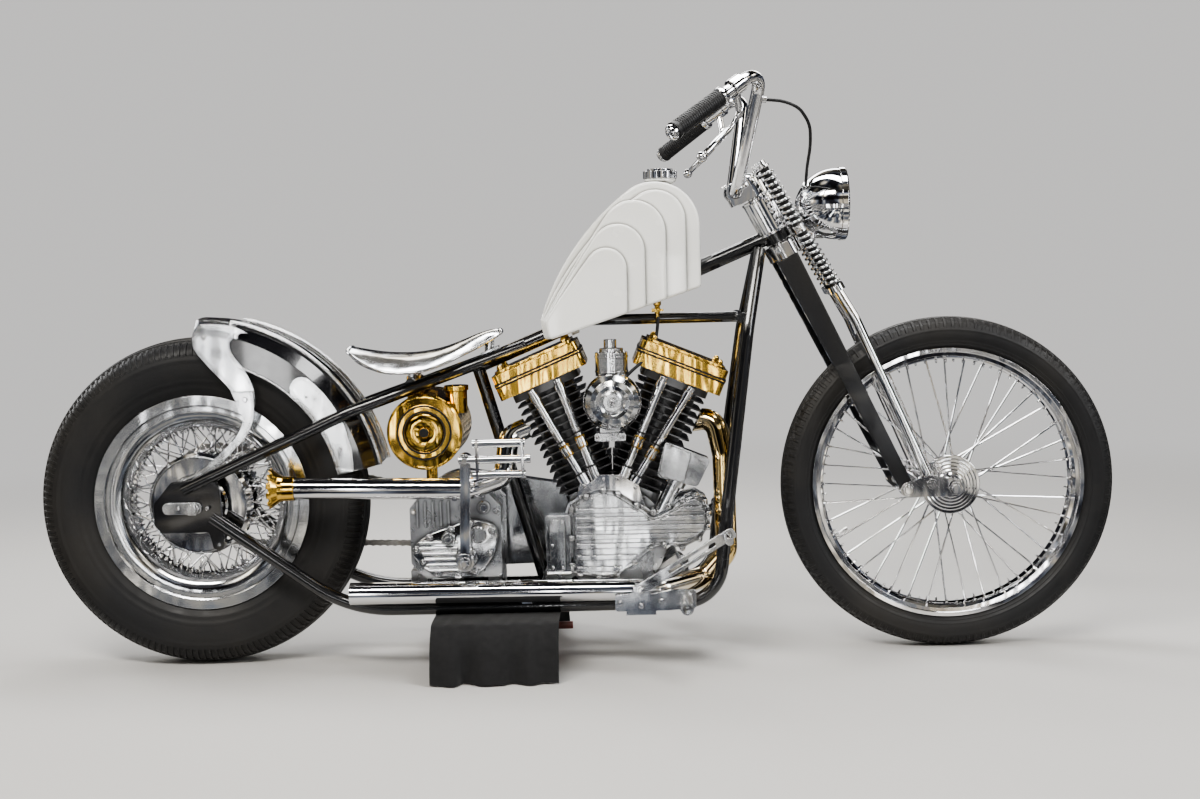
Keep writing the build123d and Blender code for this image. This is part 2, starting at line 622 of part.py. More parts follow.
def chain_outline(out):
    """Closed belt line round both sprockets, the given distance outside the pitch line."""
    up, down = chain_slope + chain_spread, chain_slope - chain_spread
    back, front = rear_pitch_r + out, drive_pitch_r + out
    Line(polar(rear_x, rear_z, back, up), polar(drive_x, drive_z, front, up))
    ThreePointArc(
        polar(drive_x, drive_z, front, up),
        polar(drive_x, drive_z, front, chain_slope),
        polar(drive_x, drive_z, front, down),
    )
    Line(polar(drive_x, drive_z, front, down), polar(rear_x, rear_z, back, down))
    ThreePointArc(
        polar(rear_x, rear_z, back, down),
        polar(rear_x, rear_z, back, chain_slope + 180),
        polar(rear_x, rear_z, back, up),
    )


def chain_spot(share):
    """Centre and direction of the chain at a share of its length, from the top rear tangent."""
    up, down = chain_slope + chain_spread, chain_slope - chain_spread
    arc_f, arc_r = radians(drive_wrap) * drive_pitch_r, radians(rear_wrap) * rear_pitch_r
    run = share * (2 * chain_straight + arc_f + arc_r)
    if run < chain_straight:
        x, z = polar(rear_x, rear_z, rear_pitch_r, up)
        return polar(x, z, run, up - 90) + (up - 90,)
    run -= chain_straight
    if run < arc_f:
        angle = up - degrees(run / drive_pitch_r)
        return polar(drive_x, drive_z, drive_pitch_r, angle) + (angle - 90,)
    run -= arc_f
    if run < chain_straight:
        x, z = polar(drive_x, drive_z, drive_pitch_r, down)
        return polar(x, z, run, down - 90) + (down - 90,)
    angle = down - degrees((run - chain_straight) / rear_pitch_r)
    return polar(rear_x, rear_z, rear_pitch_r, angle) + (angle - 90,)


with BuildPart() as rear_chain:
    with BuildSketch(side_plane(chain_y + core_w / 2)):
        with BuildLine():
            chain_outline(core_h / 2)
        make_face()
        with BuildLine(mode=Mode.PRIVATE) as inside:
            chain_outline(-core_h / 2)
        make_face(inside.line.edges(), mode=Mode.SUBTRACT)
    extrude(amount=core_w)
    links = []
    for k in range(link_count):
        x, z, angle = chain_spot(k / link_count)
        c, s = cos(radians(angle)), sin(radians(angle))
        links.append(Plane((x, chain_y + link_w / 2, z), x_dir=(c, 0, s), z_dir=(0, -1, 0)))
    with BuildSketch(*links):
        Rectangle(link_l, link_h)
    extrude(amount=link_w)
rear_chain.part.label = "rear_chain"
export_step(rear_chain.part, "parts/rear_chain.step")

# Front wheel: tyre, chrome rim, and a hub with its stepped cover and spokes
with BuildPart() as front_tyre:
    tyre_ring(front_x, front_z, front_tyre_r, front_tyre_w, front_rim_r, front_rim_w)
front_tyre.part.label = "front_tyre"
export_step(front_tyre.part, "parts/front_tyre.step")

front_seat_r = front_rim_r - 14
half_rim = [
    (12, front_well_r - 5), (17, 260), (27, 264), (28, 272), (30, 273), (30, front_rim_r),
    (26, front_rim_r), (26, front_seat_r), (16, front_seat_r), (11, front_well_r),
]
with BuildPart() as front_rim:
    turned(half_rim + [(-y, r) for y, r in reversed(half_rim)], front_x, front_z)
front_rim.part.label = "front_rim"
export_step(front_rim.part, "parts/front_rim.step")

front_bore_r = front_axle_r + shaft_gap
front_hub_profile = [
    (-70, front_bore_r), (-70, 15), (-64, 17), (-64, 23), (-61, 26), (-61, 31), (-58.5, 33),
    (-58.5, 38), (-56, 40), (-56, 45), (-53.5, 47), (-53.5, 52), (-51, 54),
    (-51, hub_cover_r - 1), (-50, hub_cover_r), (-44, hub_cover_r), (-42, front_hub_r),
    (-36, front_hub_r), (-34, 24), (34, 24), (36, front_hub_r), (42, front_hub_r), (46, 30),
    (60, 17), (70, 15), (70, front_bore_r),
]
with BuildPart() as front_hub:
    turned(front_hub_profile, front_x, front_z)
    spokes(front_x, front_z, front_hub_r - 6, front_well_r - 6.2, 39, 5, 40)
    drum(front_x, front_z, front_bore_r, -71, 71, Mode.SUBTRACT)
front_hub.part.label = "front_hub"
export_step(front_hub.part, "parts/front_hub.step")

# Fork yokes: stem, top clamp with bar risers, crown and the spring bridge ahead of it
clamp_low, clamp_high = 50.0, 76.0
crown_low, crown_high = -88.0, -59.0
bridge_low, bridge_high, bridge_nose = -58.0, -42.5, 56.0
ear_back, ear_half_y = 30.0, 30.0
bar_offset, bar_s, bar_r, riser_y = -34.0, 77.5, 12.7, 30.0
bar_x, _, bar_z = fork_point(bar_offset, bar_s)
bar_points = [
    (bar_x - 134, -360, bar_z + 103), (bar_x + 43, -241, bar_z + 230), (bar_x, -62, bar_z),
    (bar_x, 62, bar_z), (bar_x + 43, 241, bar_z + 230), (bar_x - 134, 360, bar_z + 103),
]
pivot_offset, pivot_s, pivot_r = leg_foot_offset, leg_foot_s, 8.0
rod_top_s, rod_low_s = 104.0, -202.0


def spring_offset(up):
    """Offset of the spring rods, which lean a little off the steering axis."""
    return 37.4 + (spring_top_s - up) * ear_lean


def spring_point(up, side):
    """Point on a spring rod's axis."""
    return fork_point(spring_offset(up), up, side * spring_y)


with BuildPart() as fork_yokes:
    rod(fork_point(0, crown_low), fork_point(0, clamp_high + 12), stem_r)
    rod(fork_point(0, clamp_high), fork_point(0, clamp_high + 9), 24)
    with BuildSketch(fork_level(clamp_low)):
        Circle(32)
        with Locations((bar_offset / 2, 0)):
            Rectangle(36, 2 * riser_y + 24)
    extrude(amount=clamp_high - clamp_low)
    for y in (-riser_y, riser_y):
        with BuildSketch(fork_plane(y + 12)):
            with Locations((bar_offset, bar_s)):
                Circle(19)
            with Locations((bar_offset, bar_s - 12)):
                Rectangle(34, 26)
        extrude(amount=24)
    with BuildSketch(fork_level(crown_low)):
        Circle(38)
        with Locations((0, 0)):
            RectangleRounded(40, 2 * leg_top_y + 26, 12)
    extrude(amount=crown_t)
    with BuildSketch(fork_level(crown_low)):
        with Locations(((ear_back + bridge_nose) / 2, 0)):
            Rectangle(bridge_nose - ear_back, 2 * ear_half_y)
    extrude(amount=bridge_high - crown_low)
    with BuildSketch(fork_level(bridge_low)):
        with Locations((bridge_nose - 13, 0)):
            RectangleRounded(26, 2 * spring_y + 32, 12)
    extrude(amount=bridge_high - bridge_low)
    rod(fork_point(0, crown_high + 1), fork_point(0, head_high), head_r + 5, Mode.SUBTRACT)
    rod(fork_point(0, crown_high - 1), fork_point(0, clamp_high), stem_r)
    rod(fork_point(0, crown_high - 1), fork_point(0, head_low - 1.5), 22)
    for side in (-1, 1):
        rod(spring_point(-70, side), spring_point(0, side), spring_rod_r + seat_gap, Mode.SUBTRACT)
    pipe(bar_points, bar_r + seat_gap, 45, Mode.SUBTRACT)
fork_yokes.part.label = "fork_yokes"
export_step(fork_yokes.part, "parts/fork_yokes.step")

# Rigid fork legs, from under the crown down to the rocker pivots
# height, offset, distance from the centre, width
leg_sections = (
    (crown_low - seat_gap, -7, leg_top_y, leg_top_w),
    (-330, -12, leg_foot_y, 36),
    (leg_foot_s, leg_foot_offset, leg_foot_y, leg_foot_w),
)
with BuildPart() as fork_legs:
    for s, offset_x, y, width in leg_sections:
        with BuildSketch(fork_level(s)):
            with Locations((offset_x, y)):
                Rectangle(width, leg_t)
    loft(ruled=True)
    pivot_x, _, pivot_z = fork_point(pivot_offset, pivot_s)
    drum(pivot_x, pivot_z, 16, leg_foot_y - leg_t / 2, leg_foot_y + leg_t / 2)
    drum(pivot_x, pivot_z, pivot_r + seat_gap, 60, 100, Mode.SUBTRACT)
    mirror(about=Plane.XZ)
fork_legs.part.label = "fork_legs"
export_step(fork_legs.part, "parts/fork_legs.step")

# Sprung fork: rods, nuts, lower yoke and the slim tubes down to the rockers
with BuildPart() as spring_fork:
    rod(spring_point(rod_low_s, 1), spring_point(rod_top_s, 1), spring_rod_r)
    rod(spring_point(spring_top_s, 1), spring_point(spring_top_s + 5, 1), 14)
    rod(spring_point(rod_top_s - 6, 1), spring_point(rod_top_s + 4, 1), 10)
    pipe(
        [
            spring_point(spring_low_s - 6, 1),
            fork_point(56, -267, 58),
            fork_point(foot_offset + 2, foot_s + 8, leg_foot_y),
        ],
        spring_leg_r,
        150,
    )
    foot_x_mm, _, foot_z_mm = fork_point(foot_offset, foot_s)
    drum(foot_x_mm, foot_z_mm, foot_r, leg_foot_y - 8, leg_foot_y + spring_leg_r)
    drum(foot_x_mm, foot_z_mm, pivot_r + seat_gap - 2, 60, 100, Mode.SUBTRACT)
    mirror(about=Plane.XZ)
    with BuildSketch(fork_level(spring_low_s - 14)):
        with Locations((spring_offset(spring_low_s), 0)):
            RectangleRounded(34, 2 * spring_y + 34, 14)
    extrude(amount=14 - seat_gap)
spring_fork.part.label = "spring_fork"
export_step(spring_fork.part, "parts/spring_fork.step")

# Springs: two above and two below the bridge, as stacked rounded coils round the rods
coil_gap = seat_gap + spring_r * ear_lean
with BuildPart() as fork_springs:
    for low, high in ((bridge_high, spring_top_s), (spring_low_s, bridge_low)):
        turns = round(spring_turns * (high - low) / (spring_top_s - bridge_high))
        pitch = (high - low - 2 * coil_gap) / turns
        corners = [(spring_rod_r + seat_gap, 0.0)]
        for k in range(turns):
            start = k * pitch
            corners += [(spring_r - 4, start), (spring_r, start + pitch / 2)]
        corners += [(spring_r - 4, turns * pitch), (spring_rod_r + seat_gap, turns * pitch)]
        base, lean = low + coil_gap, atan2(ear_lean, 1)
        c, t = cos(radians(rake) + lean), sin(radians(rake) + lean)
        foot = spring_point(base, 1)
        axis_plane = Plane(foot, x_dir=(c, 0, t), z_dir=(0, -1, 0))
        with BuildSketch(axis_plane) as coil:
            with BuildLine():
                Polyline(*corners, close=True)
            make_face()
        revolve(coil.sketch, axis=Axis(foot, (-t, 0, c)))
    mirror(about=Plane.XZ)
fork_springs.part.label = "fork_springs"
export_step(fork_springs.part, "parts/fork_springs.step")

# Rockers with their pivot pins, and the front axle that joins them
rocker_low_y = leg_foot_y + leg_t / 2 + 1
rocker_pins = ((pivot_offset, pivot_s, pivot_r), (foot_offset, foot_s, pivot_r - 2))
with BuildPart() as fork_rockers:
    with BuildSketch(fork_plane(rocker_low_y + rocker_t)):
        spots = ((pivot_offset, pivot_s, 16), (axle_offset, axle_s, 18))
        for offset_x, s, radius in spots:
            with Locations((offset_x, s)):
                Circle(radius)
        with BuildLine():
            Polyline(
                (pivot_offset - 4, pivot_s - 15), (axle_offset - 6, axle_s - 17),
                (axle_offset + 8, axle_s + 16), (foot_offset + 4, foot_s + 18),
                (pivot_offset + 3, pivot_s + 15.6), close=True,
            )
        make_face()
    extrude(amount=rocker_t)
    for offset_x, s, radius in rocker_pins:
        x, _, z = fork_point(offset_x, s)
        drum(x, z, radius, leg_foot_y - 13, rocker_low_y + rocker_t + 8)
        drum(x, z, radius + 4, rocker_low_y + rocker_t, rocker_low_y + rocker_t + 5)
    mirror(about=Plane.XZ)
    drum(front_x, front_z, front_axle_r, -116, 116)
    for y in (-110, 101):
        with BuildSketch(side_plane(y + 9)):
            with Locations((front_x, front_z)):
                RegularPolygon(15, 6)
        extrude(amount=9)
    drum(front_x, front_z, 14, 71, rocker_low_y)
    drum(front_x, front_z, 14, -rocker_low_y, -71)
fork_rockers.part.label = "fork_rockers"
export_step(fork_rockers.part, "parts/fork_rockers.step")

# Handlebar, with its control clamps, hand levers, end caps and the clip of the cable
grip_inner, bar_end = Vector(bar_x - 45, 300, bar_z + 167), Vector(*bar_points[-1])
grip_run = (bar_end - grip_inner).normalized()
grip_r, cap_end_t = 16.5, 6.0
clamp_at, lever_pivot = Vector(bar_x - 12, 278, bar_z + 191), (bar_x - 5, 264, bar_z + 143)
lever_bend, lever_tip = (bar_x - 21, 268, bar_z + 115), (bar_x - 81, 330, bar_z + 57)
cable_r, gland_r = 3.2, 6.0
clip_root = 0.25 * Vector(*bar_points[2]) + 0.75 * Vector(*bar_points[1])
cable_top = Vector(bar_x + 83, -194, bar_z + 168)
clip_dir = (cable_top - clip_root).normalized()
clip_face = clip_root + 20 * clip_dir
with BuildPart() as handlebar:
    pipe(bar_points, bar_r, 45)
    rod(bar_end, bar_end + cap_end_t * grip_run, grip_r - 1)
    rod(clamp_at - 13 * grip_run, clamp_at + 13 * grip_run, bar_r + 5)
    rod(clamp_at, lever_pivot, 7)
    pipe([lever_pivot, lever_bend, lever_tip], 4.5, 30)
    with Locations(lever_tip):
        Sphere(8)
    mirror(about=Plane.XZ)
    rod(clip_root, clip_face, gland_r)
handlebar.part.label = "handlebar"
export_step(handlebar.part, "parts/handlebar.step")

with BuildPart() as grips:
    rod(grip_inner, bar_end - seat_gap * grip_run, grip_r)
    rod(grip_inner - grip_run, bar_end + grip_run, bar_r + seat_gap, Mode.SUBTRACT)
    mirror(about=Plane.XZ)
grips.part.label = "grips"
export_step(grips.part, "parts/grips.step")

# Headlight: bullet shell on a short arm from the bridge, with the cable's gland, and its lens
lamp_x, lamp_z, lamp_r, rim_r = head_x + 163.0, head_z + 25.0, 73.0, 75.0
glass_r = 68.7
gland_root = Vector(lamp_x - 84, -14, lamp_z + 24)
cable_foot = Vector(lamp_x - 86, -72, lamp_z + 75)
gland_dir = (cable_foot - gland_root).normalized()
gland_face = gland_root + 26 * gland_dir
lamp_plane = Plane((lamp_x, 0, lamp_z), x_dir=(1, 0, 0), z_dir=(0, -1, 0))
lamp_axis = Axis((lamp_x, 0, lamp_z), (1, 0, 0))
with BuildPart() as headlight:
    with BuildSketch(lamp_plane):
        with BuildLine():
            ThreePointArc((-105, 0), (-78, 50), (-14, lamp_r))
            Polyline((-14, lamp_r), (-14, rim_r), (-3, rim_r), (0, rim_r - 3), (0, 69),
                     (-10, 69), (-10, 0), (-105, 0))
        make_face()
    revolve(axis=lamp_axis)
    with BuildSketch(fork_plane(9)):
        with BuildLine():
            Polyline(
                (bridge_nose + seat_gap, -66), (bridge_nose + seat_gap, -43),
                (bridge_nose + 27, -50), (bridge_nose + 33, -68), close=True,
            )
        make_face()
    extrude(amount=18)
    rod((lamp_x - 57, 0, lamp_z - 70), (lamp_x - 57, 0, lamp_z - 47), 10)
    rod(gland_root, gland_face, gland_r)
headlight.part.label = "headlight"
export_step(headlight.part, "parts/headlight.step")

with BuildPart() as headlight_lens:
    with BuildSketch(lamp_plane):
        with BuildLine():
            Polyline((6.5, 0), (-9.7, 0), (-9.7, glass_r), (-3, glass_r), (0, glass_r - 6),
                     (3.5, 48), (5.5, 30), close=True)
        make_face()
    revolve(axis=lamp_axis)
headlight_lens.part.label = "headlight_lens"
export_step(headlight_lens.part, "parts/headlight_lens.step")

# Cable held by the clip on the bar and the headlight's gland
cable_route = [
    clip_face + seat_gap * clip_dir, cable_top, Vector(bar_x + 117, -180, bar_z + 156),
    Vector(bar_x + 141, -152, bar_z + 125), Vector(lamp_x - 83, -112, lamp_z + 113), cable_foot,
    gland_face + seat_gap * gland_dir,
]
cable_bends = []
for before, corner, after in zip(cable_route, cable_route[1:], cable_route[2:]):
    back, on = corner - before, after - corner
    cable_bends.append(0.45 * min(back.length, on.length) / tan(radians(back.get_angle(on) / 2)))
print("cable bend radii", [round(bend) for bend in cable_bends])
with BuildPart() as control_cable:
    with BuildLine() as path:
        FilletPolyline(*cable_route, radius=cable_bends)
    with BuildSketch(Plane(path.line @ 0, z_dir=path.line % 0)):
        Circle(cable_r)
    sweep(path=path.line)
cable_length = sum(edge.length for edge in path.line.edges())
print("cable volume over section times length",
      control_cable.part.volume / (pi * cable_r ** 2 * cable_length))
control_cable.part.label = "control_cable"
export_step(control_cable.part, "parts/control_cable.step")

# Oil canister slung under the seat, with its filler and mounting posts
can_r = 77.0
can_x, can_z = rear_x + fender_r + 93.0, top_z - 184.0
gearbox_low, gearbox_high = 183.0, 360.0
can_profile = [
    (-115, 0), (-115, 10), (-110, 12), (-110, 40), (-114, 44), (-114, 52), (-110, 56),
    (-108, 72), (-104, can_r), (104, can_r), (108, 72), (110, 56), (114, 52), (114, 44),
    (110, 40), (110, 12), (115, 10), (115, 0),
]
with BuildPart() as oil_tank:
    turned(can_profile, can_x, can_z)
    rod((can_x, 0, can_z - can_r + 4), (can_x, 0, gearbox_high + seat_gap), 12)
    plate([(seat_cross_x - 15, can_z + 60), (seat_cross_x - 15, seat_cross_z + 14),
           (seat_cross_x + 15, seat_cross_z + 14), (seat_cross_x + 15, can_z + 65)], -20, 20, 5)
    rod((can_x + 63, -60, can_z + 35), (can_x + 63, -60, can_z + 81), 22)
    rod((can_x + 63, -60, can_z + 81), (can_x + 63, -60, can_z + 91), 25)
    rod((seat_cross_x, -76, seat_cross_z), (seat_cross_x, 76, seat_cross_z), cross_r + seat_gap,
        Mode.SUBTRACT)
oil_tank.part.label = "oil_tank"
export_step(oil_tank.part, "parts/oil_tank.step")

# Crankcase: round case with the cam chest on its right, the two cylinder decks and its
# feet on the cross tubes
cam_outline = [
    (-12, 187), (-12, 330), (18, 350), (59, 364), (90, 355), (141, 322), (160, 306), (188, 318),
    (216, 341), (246, 350), (268, 336), (277, 308), (275, 278), (257, 250), (218, 231), (180, 240),
    (156, 234), (122, 205), (86, 179), (60, 172), (13, 180),
]
cam_corner, chest_y = 9.0, 30.0
with BuildPart() as engine_case:
    drum(crank_x, crank_z, case_r, -case_y, case_y)
    plate(cam_outline, -case_y, -chest_y, cam_corner)
    for side in (-1, 1):
        with BuildSketch(bank_plane(side)):
            RectangleRounded(116, 116, 20)
        extrude(amount=deck_h)
    for side in (-1, 1):
        with BuildSketch(bank_plane(side, deck_h)):
            Rectangle(180, 180)
        extrude(amount=100, mode=Mode.SUBTRACT)
    plate([(-84, 138), (-44, 138), (10, 190), (-30, 260), (-60, 200)], -60, 60)
    plate([(195, 138), (235, 138), (205, 215), (150, 180)], -60, 60)
    drum(crank_x, crank_z, 60, case_y - 1, 95.7)
    for x in engine_cross_xs:
        rod((x, -rail_y, rail_z), (x, rail_y, rail_z), cross_r + seat_gap, Mode.SUBTRACT)
    rod(post_top, post_foot, rail_r + 1, Mode.SUBTRACT)
engine_case.part.label = "engine_case"
export_step(engine_case.part, "parts/engine_case.step")

# Cam cover on the right: bolted flange, raised body, pleats along it and the oil pump
cam_low, flange_y, cam_high = -117.0, -84.0, -75.3
flange_in, pleat_in, pleat_t, pleat_w = 7.0, 14.0, 4.0, 9.0
pleat_heights = (318.0, 300.0, 282.0, 264.0, 246.0, 222.0, 198.0)
with BuildPart() as cam_cover:
    plate(cam_outline, flange_y, cam_high, cam_corner)
    for depth, inset in ((flange_y, flange_in), (cam_low + 4, flange_in + 4)):
        with BuildSketch(side_plane(depth)) as body:
            with BuildLine():
                FilletPolyline(*cam_outline, radius=cam_corner, close=True)
            make_face()
            offset(amount=-inset, kind=Kind.INTERSECTION)
        extrude(body.sketch, amount=depth - cam_low - (0 if inset > flange_in else 4))
    with BuildSketch(side_plane(cam_low)) as pleats:
        for z in pleat_heights:
            with Locations((130, z)):
                Rectangle(300, pleat_w)
        with BuildLine(mode=Mode.PRIVATE) as rim:
            FilletPolyline(*cam_outline, radius=cam_corner, close=True)
        with BuildSketch(side_plane(cam_low), mode=Mode.INTERSECT):
            make_face(rim.line.edges())
            offset(amount=-pleat_in, kind=Kind.INTERSECTION)
    extrude(pleats.sketch, amount=pleat_t)
    plate([(-60, 187), (-60, 309), (-10, 309), (-10, 187)], -110, cam_high, 5)
    plate([(-52, 196), (-52, 300), (-22, 300), (-22, 196)], -114, -109, 5)
cam_cover.part.label = "cam_cover"
export_step(cam_cover.part, "parts/cam_cover.step")

# Cylinders: round barrels with square fins, wider on the heads
barrel_r, barrel_fins, fin_half_x, fin_half_y = 56.0, 7, 72.0, 70.0
fin_pitch = (fin_top_h - deck_h - 8) / fin_count
split_gap = 1.0


def cylinder(side):
    """Finned cylinder and head of one bank, clipped at the plane between the banks."""
    with BuildPart(mode=Mode.PRIVATE) as bank_part:
        with BuildSketch(bank_plane(side, deck_h + seat_gap)):
            Circle(barrel_r)
        extrude(amount=cover_low_h - deck_h - 2 * seat_gap)
        planes = [bank_plane(side, deck_h + 8 + k * fin_pitch) for k in range(fin_count)]
        for chosen, scale in ((planes[:barrel_fins], 0.93), (planes[barrel_fins:], 1.0)):
            with BuildSketch(*chosen):
                RectangleRounded(2 * fin_half_x * scale, 2 * fin_half_y * scale, 16)
            extrude(amount=fin_t)
        with BuildSketch(bank_plane(side, fin_top_h - 4)):
            RectangleRounded(2 * fin_half_x, 2 * fin_half_y, 16)
        extrude(amount=cover_low_h - seat_gap - fin_top_h + 4)
        clip = Plane((crank_x, 0, crank_z), x_dir=(0, 1, 0), z_dir=(-side, 0, 0))
        with BuildSketch(clip.offset(-split_gap)):
            Rectangle(300, 900)
        extrude(amount=200, mode=Mode.SUBTRACT)
    add(bank_part.part)


with BuildPart() as cylinders:
    cylinder(-1)
    cylinder(1)
cylinders.part.label = "cylinders"
export_step(cylinders.part, "parts/cylinders.step")


def rocker_cover(side):
    """Two stacked brass boxes on a head, with a recess between them and cap nuts."""
    sizes = (
        (cover_low_h, cover_split_h - 3, 0.0),
        (cover_split_h - 3, cover_split_h + 3, 4.0),
        (cover_split_h + 3, cover_top_h - 6, 1.0),
        (cover_top_h - 6, cover_top_h, 10.0),
    )
    for low, high, inset in sizes:
        with BuildSketch(bank_plane(side, low)) as section:
            RectangleRounded(2 * (cover_half_x - inset), 2 * (cover_half_y - inset), 12)
        extrude(section.sketch, amount=high - low)
    with BuildSketch(bank_plane(side, cover_top_h)) as nuts:
        with GridLocations(1.5 * cover_half_x, 1.5 * cover_half_y, 2, 2):
            RegularPolygon(7, 6)
    extrude(nuts.sketch, amount=5)


with BuildPart() as rocker_covers:
    rocker_cover(-1)
    rocker_cover(1)
rocker_covers.part.label = "rocker_covers"
export_step(rocker_covers.part, "parts/rocker_covers.step")

# Pushrod tubes: from tappet blocks on the cam chest up to the rocker covers
# foot x, foot z, side of the bank, distance of the head across the bank's axis
pushrods = (
    (24, 370, -1, -30),
    (43, 384, -1, 28),
    (100, 382, 1, -26),
    (117, 364, 1, 34),
)
tube_y, tube_r = -97.0, 8.5
tappet_block = [
    (4, 336), (10, 370), (36, 376), (52, 390), (92, 390), (132, 366), (146, 312), (88, 345),
]
with BuildPart() as pushrod_tubes:
    for x, z, side, across in pushrods:
        foot, top = Vector(x, tube_y, z), Vector(*bank_point(side, across, cover_low_h - 3, tube_y))
        run = (top - foot).normalized()
        rod(foot, top, tube_r)
        rod(foot - 6 * run, foot + 24 * run, tube_r + 4)
        rod(foot + 70 * run, foot + 88 * run, tube_r + 3)
        rod(top - 26 * run, top - 10 * run, tube_r + 2)
    plate(tappet_block, -110, -76, 5)
    plate(cam_outline, cam_low - 10, cam_high + 1, cam_corner, Mode.SUBTRACT)
pushrod_tubes.part.label = "pushrod_tubes"
export_step(pushrod_tubes.part, "parts/pushrod_tubes.step")

# Carburettor and air cleaner between the banks, with the chrome can above
cleaner_x, cleaner_z = 82.0, 540.0
cleaner_profile = [
    (-30, 0), (-30, 30), (-118, 30), (-118, 56), (-124, 58), (-138, 54), (-148, 44), (-152, 34),
    (-150, 26), (-144, 18), (-144, 9), (-150, 8), (-150, 0),
]
with BuildPart() as carburettor:
    turned(cleaner_profile, cleaner_x, cleaner_z)
    rod((30, -45, 522), (126, -45, 522), 15)
    for side in (-1, 1):
        with BuildSketch(bank_plane(side, deck_h)):
            Rectangle(2 * (fin_half_x + seat_gap), 2 * (fin_half_y + seat_gap))
        extrude(amount=fin_top_h - deck_h, mode=Mode.SUBTRACT)
    drum(cleaner_x - 7, 484, 20, -112, -70.5)
    plate([(cleaner_x - 38, 459), (cleaner_x - 38, 475), (cleaner_x + 26, 475), (cleaner_x + 26, 459)],
          -114, -76, 5)
    plate([(60, 470), (60, 540), (92, 540), (92, 470)], -108, -70.5, 4)
    rod((cleaner_x, -95, 560), (cleaner_x, -95, 592), 16)
    rod((cleaner_x, -95, 590), (cleaner_x, -95, 638), 33)
    rod((cleaner_x, -95, 638), (cleaner_x, -95, 646), 24)
    rod((cleaner_x - 2, -95, 646), (cleaner_x - 2, -95, 664), 13)
carburettor.part.label = "carburettor"
export_step(carburettor.part, "parts/carburettor.step")

# Magneto body ahead of the cam cover
magneto_box = [(186, 456), (278, 418), (250, 362), (168, 385)]
magneto_lid = [(186, 452), (238, 430), (222, 373), (174, 387)]
with BuildPart() as magneto:
    plate(magneto_box, -120, -84, 8)
    plate(magneto_lid, -125, -119, 6)
    rod((214, -96, 385), (170, -96, 300), 16)
    rod((211, -101, 379), (204, -101, 366), 22)
    plate(cam_outline, cam_low - 10, cam_high + 1, cam_corner, Mode.SUBTRACT)
magneto.part.label = "magneto"
export_step(magneto.part, "parts/magneto.step")

# Gearbox on its two pads, with the ribbed side cover and the drive sprocket
box_back, box_front, box_right, box_left = -338.0, -152.0, -100.0, 60.0
kick_x, kick_z, kick_boss_y = -219.0, 231.0, -122.0
with BuildPart() as transmission:
    plate([(box_back, 215), (box_back, 330), (-300, gearbox_high), (-180, gearbox_high),
           (box_front, 330), (box_front, gearbox_low), (-310, gearbox_low)],
          box_right, box_left, 8)
    turned([(-118, 0), (-118, 20), (-114, 40), (-108, 48), (box_right, 50), (box_right, 0)],
           -270, 235)
    drum(kick_x, kick_z, 17, kick_boss_y, box_right)
    for x in gearbox_cross_xs:
        plate([(x - 16, 138), (x - 16, 190), (x + 16, 190), (x + 16, 138)], -50, 50)
    drum(drive_x, drive_z, 16, box_left - 1, 95.7)
    drum(drive_x, drive_z, drive_pitch_r - link_h / 2 - seat_gap, chain_y - 3, chain_y + 3)
    for x in gearbox_cross_xs:
        rod((x, -rail_y, rail_z), (x, rail_y, rail_z), cross_r + seat_gap, Mode.SUBTRACT)
transmission.part.label = "transmission"
export_step(transmission.part, "parts/transmission.step")

# Kick starter: shaft, long arm and the ladder pedal
arm_y, arm_t = -190.0, 12.0
# height, back and front of each bar of the pedal
bars = ((470, -196, -92), (438, -224, -82), (408, -196, -92))
with BuildPart() as kick_starter:
    drum(kick_x, kick_z, 11, arm_y - 5, kick_boss_y - seat_gap)
    drum(kick_x, kick_z, 18, arm_y - 3, arm_y + arm_t + 3)
    flat_bar((kick_x, kick_z), (-212, 448), 20, arm_y, arm_y + arm_t)
    for z, back, front in bars:
        rod((back, arm_y - 10, z), (front, arm_y - 10, z), 8)
    for x in (-190, -100):
        plate([(x, 400), (x, 478), (x + 5, 478), (x + 5, 400)], arm_y - 18, arm_y - 2)
    drum(-212, 438, 13, arm_y - 14, arm_y + arm_t + 3)
kick_starter.part.label = "kick_starter"
export_step(kick_starter.part, "parts/kick_starter.step")

# Primary cover along the left side, from the crankshaft to the clutch
with BuildPart() as primary_cover:
    for low, high, inset in ((96.0, 140.0, 0), (140.0, 150.0, 9)):
        with BuildSketch(side_plane(high)) as outline:
            with BuildLine():
                front_r, back_r = 75.0 - inset, 105.0 - inset
                Line((crank_x, crank_z + front_r), (drive_x, 275 + back_r))
                ThreePointArc((drive_x, 275 + back_r), (drive_x - back_r, 275), (drive_x, 275 - back_r))
                Line((drive_x, 275 - back_r), (crank_x, crank_z - front_r))
                ThreePointArc((crank_x, crank_z - front_r), (crank_x + front_r, crank_z),
                              (crank_x, crank_z + front_r))
            make_face()
        extrude(amount=high - low)
primary_cover.part.label = "primary_cover"
export_step(primary_cover.part, "parts/primary_cover.step")

